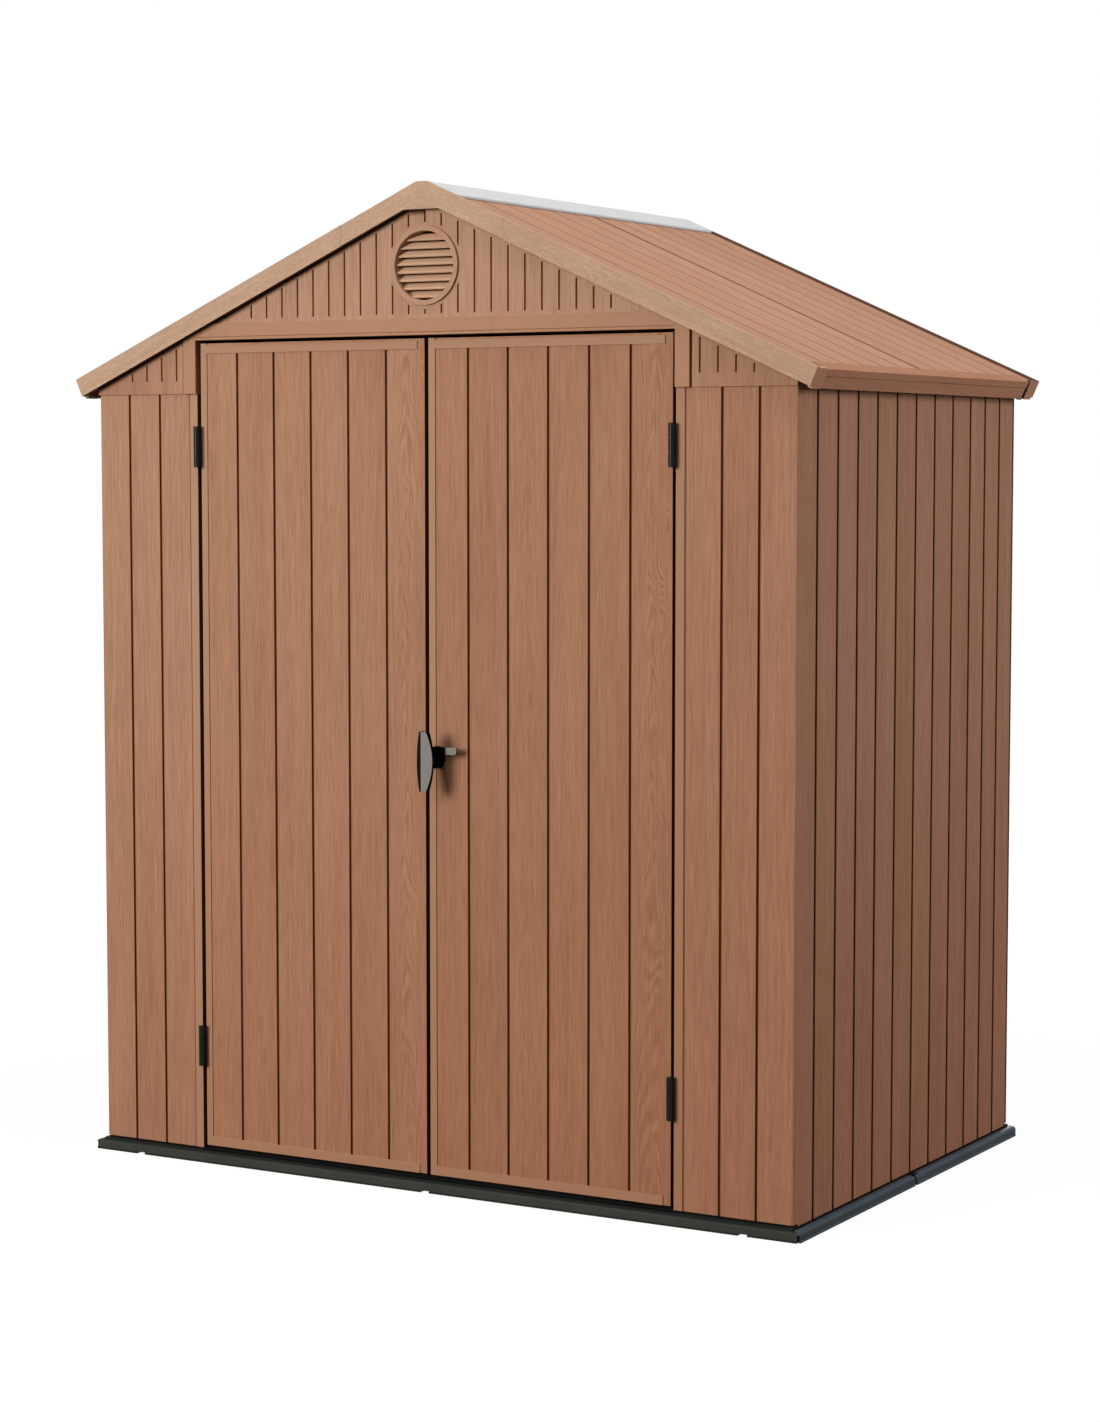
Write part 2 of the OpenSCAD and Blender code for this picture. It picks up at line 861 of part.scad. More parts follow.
// The back one is lower in the middle, where the skylight runs over it
module rear_ridge_end() {
    color(trim_brown) along_y(barge_back, barge_face) ridge_end_outline(roof_drop);
}

// Eave fascia with a top flange over the roof panels and two bands, between the returns
module eave_fascia() {
    band = fascia_drop + fascia_band;
    along_y(lay_gap - return_end, return_end - clip_gap) polygon([
        eave_pt(0, fascia_drop), eave_pt(0, band), eave_pt(fascia_step, band),
        eave_pt(fascia_step, eave_foot), eave_pt(fascia_t, eave_foot),
        eave_pt(fascia_t, roof_drop - lay_gap), eave_pt(fascia_flange, roof_drop - lay_gap),
        eave_pt(fascia_flange, fascia_drop)
    ]);
}

module eave_fascia_left() {
    color(trim_brown) on_side(-1) eave_fascia();
}

module eave_fascia_right() {
    color(trim_brown) on_side(1) eave_fascia();
}

// Clips that tie each fascia's rear end to the return and reach under the fascia
module eave_clips() {
    foot = eave_foot + clip_hang;
    color(black) for (side = [-1, 1]) on_side(side) {
        along_y(return_end - clip_gap, return_end) polygon([
            eave_pt(2 * fascia_step, fascia_drop + fascia_step), eave_pt(2 * fascia_step, foot),
            eave_pt(clip_l, foot), eave_pt(clip_l, eave_foot),
            eave_pt(fascia_t, eave_foot), eave_pt(fascia_t, fascia_drop + fascia_step)
        ]);
        along_y(return_end - 2 * clip_gap, return_end) polygon([
            eave_pt(2 * fascia_step, eave_foot), eave_pt(2 * fascia_step, foot),
            eave_pt(clip_l, foot), eave_pt(clip_l, eave_foot)
        ]);
    }
}

// ---- doors ----

// A leaf whose left edge is at x0, with raised stile and rails over a boarded field
module leaf(x0) {
    x1 = x0 + leaf_w;
    field = -half_d + frame_rise;
    rail_top = leaf_z1 - rail_lip;
    board_z0 = leaf_z0 + bottom_rail_h;
    board_z1 = rail_top - top_rail_h;
    difference() {
        union() {
            block([x0, field, leaf_z0], [x1, -half_d + leaf_t, leaf_z1]);
            block([x0, -half_d, leaf_z0], [x0 + stile_w, field, leaf_z1]);
            block([x0 + stile_w, -half_d, board_z1], [x1 - margin_w, field, rail_top]);
            block([x0 + stile_w, -half_d, leaf_z0], [x1 - margin_w, field, board_z0]);
        }
        for (k = [1:leaf_boards - 1])
            groove_x(x0 + k * leaf_w / leaf_boards, field, -1, board_z0, board_z1);
    }
}

module door_left() {
    color(brown) leaf(-mid_gap / 2 - leaf_w);
}

module door_right() {
    color(brown) difference() {
        leaf(mid_gap / 2);
        handle_axis() cylinder(h = 4 * leaf_t, r = spindle_r + 2 * fit_gap, center = true);
    }
}

// ---- hinges ----

hinge_heights = [leaf_z0 + hinge_in, leaf_z1 - hinge_in];
pin_x = jamb_x - side_gap / 2;
pin_y = -half_d - pin_out;
knuckle_h = hinge_h / 3;
leaf_edge = jamb_x - side_gap;

// Wing on the jamb or on the leaf's edge, with its root at the knuckles from z0 to z1
module wing(x0, root_z0, root_z1) {
    block([x0, -half_d, -hinge_h / 2], [x0 + wing_t, -half_d + wing_l, hinge_h / 2]);
    block([x0, pin_y, root_z0], [x0 + wing_t, -half_d + over, root_z1]);
}

// Fixed half of the right hinges: two knuckles, the pin and the jamb wing
module hinge_jamb() {
    for (z = hinge_heights) translate([0, 0, z]) {
        for (low = [-hinge_h / 2, knuckle_h / 2]) {
            translate([pin_x, pin_y, low]) cylinder(h = knuckle_h, r = barrel_r);
            wing(jamb_x - wing_t, low, low + knuckle_h);
        }
        translate([pin_x, pin_y, -hinge_h / 2 + over]) cylinder(h = hinge_h - 2 * over, r = pin_r);
    }
}

// Moving half of the right hinges: the middle knuckle round the pin and the leaf wing
module hinge_leaf() {
    low = -knuckle_h / 2 + knuckle_gap;
    high = knuckle_h / 2 - knuckle_gap;
    for (z = hinge_heights) translate([0, 0, z]) difference() {
        union() {
            translate([pin_x, pin_y, low]) cylinder(h = high - low, r = barrel_r);
            wing(leaf_edge, low, high);
        }
        translate([pin_x, pin_y, 0]) cylinder(h = 2 * hinge_h, r = pin_r + run_gap, center = true);
    }
}

module hinge_jamb_left() {
    color(black) on_side(-1) hinge_jamb();
}

module hinge_jamb_right() {
    color(black) on_side(1) hinge_jamb();
}

module hinge_leaf_left() {
    color(black) on_side(-1) hinge_leaf();
}

module hinge_leaf_right() {
    color(black) on_side(1) hinge_leaf();
}

// ---- handle ----

handle_x = mid_gap / 2 + handle_in;
handle_z = leaf_z0 + handle_up;

// Places a shape that lies in the xy plane on the handle's axis, facing the front
module handle_axis() {
    translate([handle_x, -half_d, handle_z]) rotate([90, 0, 0]) children();
}

// Rose on the leaf, with a bore for the spindle and a side tab with one round corner
module handle_rose() {
    tab_z = rose_l - 2 * tab_t;
    color(black) handle_axis() difference() {
        union() {
            cylinder(h = rose_l, r = rose_r);
            translate([0, rose_up, 0]) cylinder(h = rose_l, r = rose_r);
            translate([-rose_r, 0, 0]) cube([2 * rose_r, rose_up, rose_l]);
            translate([0, 0, tab_z]) linear_extrude(tab_t) difference() {
                translate([0, rose_up + rose_r - tab_h]) square([rose_r + tab_l, tab_h]);
                translate([rose_r + tab_l, rose_up + rose_r - tab_h]) corner_bite(-1, 1, tab_r);
            }
        }
        cylinder(h = 4 * rose_l, r = spindle_r + run_gap, center = true);
    }
}

// Front outline of the grip: two arcs between flat ends
module grip_outline() {
    sag = (grip_w - grip_end_w) / 2;
    arc_r = (grip_h * grip_h / 4 + sag * sag) / (2 * sag);
    intersection() {
        square([grip_w, grip_h], center = true);
        translate([arc_r - grip_w / 2, 0]) circle(arc_r, $fn = arc_facets);
        translate([grip_w / 2 - arc_r, 0]) circle(arc_r, $fn = arc_facets);
    }
}

// Lens shaped grip with a straight keel down its front
module handle_grip() {
    color(black) handle_axis() difference() {
        intersection() {
            translate([0, 0, grip_out]) linear_extrude(grip_rim + keel_h) grip_outline();
            translate([0, grip_h / 2, 0]) rotate([90, 0, 0]) linear_extrude(grip_h) polygon([
                [-grip_w / 2, 0], [grip_w / 2, 0], [grip_w / 2, grip_out + grip_rim],
                [0, grip_out + grip_rim + keel_h], [-grip_w / 2, grip_out + grip_rim]
            ]);
        }
        translate([0, 0, grip_out - over]) cylinder(h = grip_rim + over, r = spindle_r);
    }
}

// Spindle through the leaf, with a collar under the grip and a knob inside
module handle_spindle() {
    knob_z = -leaf_t - knuckle_gap - knob_t;
    color(black) handle_axis() {
        translate([0, 0, knob_z]) cylinder(h = grip_out + grip_rim - knob_z, r = spindle_r);
        translate([0, 0, rose_l + knuckle_gap])
            cylinder(h = grip_out - rose_l - knuckle_gap, r = collar_r);
        translate([0, 0, knob_z]) cylinder(h = knob_t, r = knob_r);
    }
}

floor_front();
floor_rear();
front_left_corner();
front_right_corner();
rear_left_corner();
rear_right_corner();
left_wall();
right_wall();
rear_wall_left();
rear_wall_right();
front_gable_left();
front_gable_centre();
front_gable_right();
rear_gable_left();
rear_gable_right();
header_left();
header_right();
vent_louvre();
roof_left_front();
roof_left_rear();
roof_right_front();
roof_right_rear();
skylight();
roof_truss();
front_barge_left();
front_barge_right();
front_ridge_end();
rear_barge_left();
rear_barge_right();
rear_ridge_end();
eave_fascia_left();
eave_fascia_right();
eave_clips();
door_left();
door_right();
hinge_jamb_left();
hinge_jamb_right();
hinge_leaf_left();
hinge_leaf_right();
handle_rose();
handle_grip();
handle_spindle();
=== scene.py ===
"""Tool shed of wood-grained resin: the finishes, the small fixings and a plain studio."""

import logging
import math
from dataclasses import dataclass, field, replace
from enum import Enum
from functools import partial, partialmethod, reduce

import bmesh
import bpy
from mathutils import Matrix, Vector


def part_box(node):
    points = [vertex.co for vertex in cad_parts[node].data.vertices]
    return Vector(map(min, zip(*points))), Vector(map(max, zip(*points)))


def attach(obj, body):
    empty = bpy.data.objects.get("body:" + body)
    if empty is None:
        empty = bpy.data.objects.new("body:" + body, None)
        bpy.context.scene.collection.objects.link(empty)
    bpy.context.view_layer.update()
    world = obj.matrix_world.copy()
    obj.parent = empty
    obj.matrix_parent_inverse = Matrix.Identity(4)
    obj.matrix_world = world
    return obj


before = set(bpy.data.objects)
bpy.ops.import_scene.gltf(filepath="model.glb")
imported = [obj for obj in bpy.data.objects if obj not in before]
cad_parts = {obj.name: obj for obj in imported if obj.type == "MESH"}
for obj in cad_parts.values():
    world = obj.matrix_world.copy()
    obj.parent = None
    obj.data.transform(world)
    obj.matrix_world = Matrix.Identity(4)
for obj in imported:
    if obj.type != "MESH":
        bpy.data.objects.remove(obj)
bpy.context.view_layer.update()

Colour = tuple[float, float, float]
Tones = tuple[Colour, Colour]  # dark and light
Point = tuple[float, float, float]
Span = tuple[float, float]
Tree = bpy.types.NodeTree
Node = bpy.types.Node
Socket = bpy.types.NodeSocket
Feed = float | Colour | Socket
Shades = list[tuple[Feed, Feed]]

LOG = logging.getLogger("tool_shed")
MM = 0.001
FAR = 9.0  # metres, past every piece
MIDDLE = 0.5  # of a tone, a relief or a board


class Lay(Enum):
    """Direction in which the moulded grain of a piece runs."""

    UP = "up the wall"
    SLOPE = "down the slope of the roof"
    EAVE = "along the eave"


# ---- building node trees ----


class Graph:
    """Adds nodes to one tree and links them."""

    def __init__(self, tree: Tree) -> None:
        """Keeps the tree that the nodes go into."""
        self.tree = tree

    def node(self, kind: str, inputs: dict[str | int, Feed] | None = None, **settings: object) -> Node:
        """Adds a node.

        Args:
            kind: Blender's name for the type of node.
            inputs: What its inputs take, by name or number.
            settings: Properties of the node and their values.

        Returns:
            The new node.
        """
        made = self.tree.nodes.new(kind)
        for name, value in settings.items():
            setattr(made, name, value)
        for label, value in (inputs or {}).items():
            self.feed(made.inputs[label], value)
        return made

    def feed(self, socket: Socket, value: Feed) -> None:
        """Links a socket into another one, or sets its constant.

        Args:
            socket: The input that takes the value.
            value: An output to link, a number or a colour.
        """
        if isinstance(value, bpy.types.NodeSocket):
            self.tree.links.new(value, socket)
        elif isinstance(value, tuple) and socket.type == "RGBA":
            socket.default_value = (*value, 1.0)
        else:
            socket.default_value = value

    def math(self, operation: str, *values: Feed, clamp: bool = False) -> Socket:
        """Adds a Math node.

        Args:
            operation: The node's operation.
            values: What its inputs take, in order.
            clamp: Whether the result is kept between 0 and 1.

        Returns:
            The node's output.
        """
        made = self.node("ShaderNodeMath", dict(enumerate(values)), operation=operation, use_clamp=clamp)
        return made.outputs[0]

    plus = partialmethod(math, "ADD")
    minus = partialmethod(math, "SUBTRACT")
    scaled = partialmethod(math, "MULTIPLY_ADD")
    size = partialmethod(math, "ABSOLUTE")
    least = partialmethod(math, "MINIMUM")
    less = partialmethod(math, "LESS_THAN")
    more = partialmethod(math, "GREATER_THAN")

    def fold(self, operation: str, *values: Feed) -> Feed:
        """Puts several numbers or masks together by one operation."""
        return reduce(partial(self.math, operation), values)

    times = partialmethod(fold, "MULTIPLY")
    most = partialmethod(fold, "MAXIMUM")

    def ramp(
        self, value: Feed, low: float, high: float, out_low: float = 0.0, out_high: float = 1.0
    ) -> Socket:
        """Maps a value smoothly from one range to another.

        Args:
            value: What is mapped.
            low: Value at which the result is out_low.
            high: Value at which it is out_high.
            out_low: Result at and before low.
            out_high: Result at and past high.

        Returns:
            The mapped value.
        """
        ends = {"From Min": low, "From Max": high, "To Min": out_low, "To Max": out_high}
        made = self.node("ShaderNodeMapRange", {"Value": value, **ends}, interpolation_type="SMOOTHSTEP")
        return made.outputs["Result"]

    def blend(self, factor: Feed, first: Feed, second: Feed, kind: str = "MIX") -> Socket:
        """Mixes two colours.

        Args:
            factor: Share of the second colour.
            first: The colour at 0.
            second: The colour at 1.
            kind: How the two are blended.

        Returns:
            The mixed colour.
        """
        inputs = {0: factor, 6: first, 7: second}
        return self.node("ShaderNodeMix", inputs, data_type="RGBA", blend_type=kind).outputs[2]

    def choose(self, factor: Feed, first: Feed, second: Feed) -> Socket:
        """Mixes two numbers, with a factor that is the share of the second one."""
        return self.node("ShaderNodeMix", {0: factor, 2: first, 3: second}, data_type="FLOAT").outputs[0]

    def split(self, vector: Socket) -> tuple[Socket, Socket, Socket]:
        """Separates a vector into its three parts."""
        return tuple(self.node("ShaderNodeSeparateXYZ", {0: vector}).outputs)

    def join(self, x: Feed, y: Feed, z: Feed) -> Socket:
        """Combines three numbers into a vector."""
        return self.node("ShaderNodeCombineXYZ", {0: x, 1: y, 2: z}).outputs[0]

    def noise(self, place: Socket, cells: Point, detail: float = 2.0) -> Socket:
        """Adds a noise texture.

        Args:
            place: Where on the piece, in metres.
            cells: Number of waves in a metre, along each axis.
            detail: Number of finer layers.

        Returns:
            The noise, around 0.5.
        """
        scaled = self.node("ShaderNodeVectorMath", {0: place, 1: cells}, operation="MULTIPLY")
        inputs = {"Vector": scaled.outputs[0], "Scale": 1.0, "Detail": detail}
        return self.node("ShaderNodeTexNoise", inputs).outputs["Fac"]

    def group(self, tree: Tree, **inputs: Feed) -> bpy.types.NodeOutputs:
        """Places a shared effect and gives its outputs. Its inputs are fed by name."""
        fed = {label.title(): value for label, value in inputs.items()}
        return self.node("ShaderNodeGroup", fed, node_tree=tree).outputs


class Effect(Graph):
    """The node group of a shared effect, with named inputs and outputs."""

    def __init__(self, name: str, inputs: tuple[str, ...], outputs: tuple[str, ...]) -> None:
        """Starts the group.

        Args:
            name: The effect's name.
            inputs: Name of each input, a vector if it is Place and otherwise a number.
            outputs: Name of each output, a number.
        """
        super().__init__(bpy.data.node_groups.new(name, "ShaderNodeTree"))
        for way, labels in (("INPUT", inputs), ("OUTPUT", outputs)):
            for label in labels:
                kind = "NodeSocketVector" if label == "Place" else "NodeSocketFloat"
                self.tree.interface.new_socket(label, in_out=way, socket_type=kind)
        self.take = self.node("NodeGroupInput").outputs
        self.end = self.node("NodeGroupOutput")

    def give(self, *values: Socket) -> Tree:
        """Feeds the outputs.

        Args:
            values: What they take, in order.

        Returns:
            The finished group.
        """
        for socket, value in zip(self.end.inputs, values):
            self.feed(socket, value)
        return self.tree


@dataclass(frozen=True)
class Layer:
    """One layer of noise in the wood grain, with its weight in the tone and in the relief."""

    cells: Point
    detail: float
    in_tone: float
    in_relief: float = 0.0


@dataclass(frozen=True)
class WoodGrain:
    """Moulded wood grain, with arched figure where a board asks for it."""

    pores: Layer = Layer((320.0, 320.0, 16.0), 2.0, 1.3, 1.2)
    streaks: Layer = Layer((150.0, 150.0, 3.5), 2.0, 0.7, 0.5)
    bands: Layer = Layer((34.0, 34.0, 0.7), 1.0, 0.4)
    drift: Layer = Layer((5.0, 5.0, 1.6), 1.0, 0.5)
    board_across: float = 1.37
    board_along: float = 3.71
    sway: float = 0.18
    arch: float = 42.0
    rings_in_metre: float = 15.0
    ring_wander: float = 4.0
    figure_tone: float = 0.32
    figure_relief: float = 0.4

    def build(self) -> Tree:
        """Builds the effect.

        Returns:
            A group that puts out the tone and the relief, both around 0.5. Z runs along the grain.
        """
        graph = Effect("wood_grain", ("Place", "Board", "Share", "Figure"), ("Tone", "Relief"))
        x, y, z = graph.split(graph.take["Place"])
        board = graph.take["Board"]
        along = graph.scaled(board, self.board_along, z)
        place = graph.join(graph.scaled(board, self.board_across, x), y, along)
        tone = relief = MIDDLE
        for layer in (self.pores, self.streaks, self.bands, self.drift):
            wave = graph.minus(graph.noise(place, layer.cells, layer.detail), MIDDLE)
            tone = graph.scaled(wave, layer.in_tone, tone)
            if layer.in_relief:
                relief = graph.scaled(wave, layer.in_relief, relief)
        figure = self.figure(graph, place, along)
        tone = graph.scaled(figure, self.figure_tone, tone)
        return graph.give(tone, graph.scaled(figure, self.figure_relief, relief))

    def figure(self, graph: Effect, place: Socket, along: Socket) -> Socket:
        """Draws broken rings that arch across a board.

        Args:
            graph: The effect's graph.
            place: The place, moved on by some way for each board.
            along: The same place along the grain.

        Returns:
            The figure, from -1 to 1.
        """
        wander = graph.noise(place, (11.0, 11.0, 2.6))
        centred = graph.plus(graph.take["Share"], graph.ramp(wander, 0.3, 0.7, -self.sway, self.sway))
        arch = graph.times(centred, centred, self.arch)
        rings = graph.scaled(wander, self.ring_wander, graph.scaled(along, self.rings_in_metre, arch))
        wave = graph.math("SINE", graph.times(rings, 2.0 * math.pi))
        broken = graph.ramp(graph.noise(place, (90.0, 90.0, 12.0), 1.0), 0.35, 0.65, 0.2, 1.0)
        return graph.times(wave, graph.take["Figure"], broken)


def board_layout() -> Tree:
    """Numbers the boards and finds the place across each.

    Returns:
        A group that turns a distance across into the board's number and a share from -0.5 to 0.5.
    """
    graph = Effect("board_layout", ("Across", "Start", "Pitch"), ("Board", "Share"))
    place = graph.math("DIVIDE", graph.minus(graph.take["Across"], graph.take["Start"]), graph.take["Pitch"])
    number = graph.math("FLOOR", place)
    return graph.give(number, graph.minus(graph.minus(place, number), MIDDLE))


def groove_mask() -> Tree:
    """Marks what lies a few millimetres under the outer skin.

    Returns:
        A group that turns a depth in metres into a mask of the grooves.
    """
    starts, ends = (0.1 * MM, 0.7 * MM), (6.0 * MM, 7.0 * MM)
    graph = Effect("groove_mask", ("Depth",), ("Mask",))
    depth = graph.take["Depth"]
    return graph.give(graph.times(graph.ramp(depth, *starts), graph.ramp(depth, *ends, 1.0, 0.0)))


def moulded_pebble() -> Tree:
    """Fine pebbled texture of moulded resin.

    Returns:
        A group that puts out the tone and the relief, both around 0.5.
    """
    cloud_cells, grain_cells, contrast = (9.0,) * 3, (900.0,) * 3, 0.7
    graph = Effect("moulded_pebble", ("Place",), ("Tone", "Relief"))
    place = graph.take["Place"]
    clouds = graph.minus(graph.noise(place, cloud_cells), MIDDLE)
    return graph.give(graph.scaled(clouds, contrast, MIDDLE), graph.noise(place, grain_cells, 1.0))


@dataclass(frozen=True)
class Effects:
    """The shader node groups that several finishes share, each built once."""

    boards: Tree = field(default_factory=board_layout)
    grain: Tree = field(default_factory=WoodGrain().build)
    recess: Tree = field(default_factory=groove_mask)
    pebble: Tree = field(default_factory=moulded_pebble)


# ---- finishes ----

WHITE: Colour = (1.0, 1.0, 1.0)
# Painted shade: SHADE is laid in and beside the grooves and joints, SLOT_SHADE in the gable's slots,
# BACK_EDGE_SHADE on the rear bargeboards' inner and upper faces and UNDER_SHADE on the trim's undersides.
SHADE: Colour = (0.155, 0.040, 0.012)
SLOT_SHADE: Colour = (0.400, 0.160, 0.070)
BACK_EDGE_SHADE: Colour = (0.150, 0.084, 0.055)
UNDER_SHADE: Colour = (0.075, 0.034, 0.018)
BROWN: Tones = ((0.305, 0.143, 0.078), (0.450, 0.232, 0.139))
BROWN_SMOOTH: Colour = (0.410, 0.226, 0.135)
TAN: Tones = ((0.350, 0.190, 0.113), (0.505, 0.292, 0.186))
SIDEWAYS = 0.7  # share of a face's direction from which it counts as a side
TONE_SPAN: Span = (0.2, 0.8)  # tones over which a finish changes


@dataclass(frozen=True)
class Surface:
    """Numbers that are the same all over a finish."""

    roughness: float = 0.6
    uneven: float = 0.06
    metallic: float = 0.0
    specular: float = 0.03
    transmission: float = 0.0
    bump: float = 0.35
    bump_height: float = 0.25 * MM


@dataclass(frozen=True)
class Coat:
    """What a finish spreads over a piece. Each shade is a mask and a colour, the lowest first."""

    colour: Feed
    shades: Shades
    tone: Socket
    relief: Socket
    metal: Socket | None = None


class Paint(Graph):
    """The graph of a finish, with the place on its piece and the way the surface faces."""

    def __init__(self, tree: Tree, effects: Effects) -> None:
        """Finds the place and the facing, in the piece's own frame.

        Args:
            tree: The material's tree, which is emptied.
            effects: The shared effects.
        """
        super().__init__(tree)
        tree.nodes.clear()
        self.effects = effects
        coordinates = self.node("ShaderNodeTexCoord").outputs
        self.place = coordinates["Object"]
        self.x, self.y, self.z = self.split(self.place)
        self.to_right, self.to_back, self.up = self.split(coordinates["Normal"])
        self.wide, self.deep = self.size(self.x), self.size(self.y)

    def pebble(self) -> tuple[Socket, Socket]:
        """Tone and relief of the pebbled texture."""
        return tuple(self.group(self.effects.pebble, place=self.place))

    def beside_joints(self, share: Socket, pitch: float, span: Span, strength: float) -> Socket:
        """Marks what lies near the joints between boards.

        Args:
            share: The place across a board.
            pitch: Width of a board.
            span: Distances from a joint over which the mask fades.
            strength: The mask's value at the joint.

        Returns:
            The mask.
        """
        inward = self.minus(MIDDLE, self.size(share))
        return self.ramp(inward, span[0] / pitch, span[1] / pitch, strength, 0.0)


class Finish:
    """What all finishes share. Each kind says how its coat lies over a piece."""

    name: str
    surface: Surface

    def coat(self, paint: Paint) -> Coat:
        """Lays out the colour and the texture."""
        raise NotImplementedError

    def material(self, effects: Effects) -> bpy.types.Material:
        """Builds the material.

        Args:
            effects: The shared effects.

        Returns:
            The material.
        """
        material = bpy.data.materials.new(self.name)
        material.use_nodes = True
        paint = Paint(material.node_tree, effects)
        coat, surface = self.coat(paint), self.surface
        colour = coat.colour
        for mask, shade in coat.shades:
            colour = paint.blend(mask, colour, shade)
        rough, even = surface.roughness + surface.uneven, surface.roughness - surface.uneven
        relief = {"Strength": surface.bump, "Distance": surface.bump_height, "Height": coat.relief}
        inputs = {
            "Base Color": colour,
            "Roughness": paint.ramp(coat.tone, *TONE_SPAN, rough, even),
            "Metallic": surface.metallic if coat.metal is None else coat.metal,
            "Specular IOR Level": surface.specular,
            "Transmission Weight": surface.transmission,
            "Normal": paint.node("ShaderNodeBump", relief).outputs[0],
        }
        shader = paint.node("ShaderNodeBsdfPrincipled", inputs)
        paint.node("ShaderNodeOutputMaterial", {"Surface": shader.outputs[0]})
        return material


@dataclass(frozen=True)
class Rows:
    """The board that each place lies on, in front and at the sides."""

    across: Socket
    sideways: Socket
    front: bpy.types.NodeOutputs
    side: bpy.types.NodeOutputs


@dataclass(frozen=True)
class Boards:
    """Where the boards of a moulded panel lie, in metres.

    The x values hold for what faces the front or back, the y values for what faces the sides.
    """

    x_start: float
    x_pitch: float
    y_start: float = 0.0
    y_pitch: float = 1.0
    mirrored: bool = True
    skin_x: float = FAR
    skin_y: float = FAR
    x_low: float = -FAR
    x_high: float = FAR
    z_high: float = FAR
    corner: float = 7 * MM

    def lay_out(self, paint: Paint) -> Rows:
        """Finds the board that each place lies on.

        Args:
            paint: The finish's graph.

        Returns:
            The rows of boards.
        """
        across = paint.wide if self.mirrored else paint.x
        layout = paint.effects.boards
        return Rows(
            across,
            paint.more(paint.size(paint.to_right), SIDEWAYS),
            paint.group(layout, across=across, start=self.x_start, pitch=self.x_pitch),
            paint.group(layout, across=paint.y, start=self.y_start, pitch=self.y_pitch),
        )


@dataclass(frozen=True)
class EaveShadow:
    """Painted shadow: a dark strip on the front gable and header under the left slope of the bargeboards."""

    slope: float
    edge_x: float
    edge_z: float
    top_z: float
    reach: float = 15 * MM
    shade: Colour = (0.060, 0.022, 0.009)

    def shades(self, paint: Paint) -> Shades:
        """Marks the painted shadow strip.

        Args:
            paint: The finish's graph.

        Returns:
            The strip's mask and shade.
        """
        edge = paint.scaled(paint.plus(paint.x, self.edge_x), math.tan(self.slope), self.edge_z)
        below = paint.times(paint.minus(paint.least(edge, self.top_z), paint.z), math.cos(self.slope))
        strip = paint.ramp(below, 0.0, self.reach, 1.0, 0.0)
        return [(paint.times(strip, paint.less(paint.x, 0.0), paint.less(paint.y, 0.0)), self.shade)]


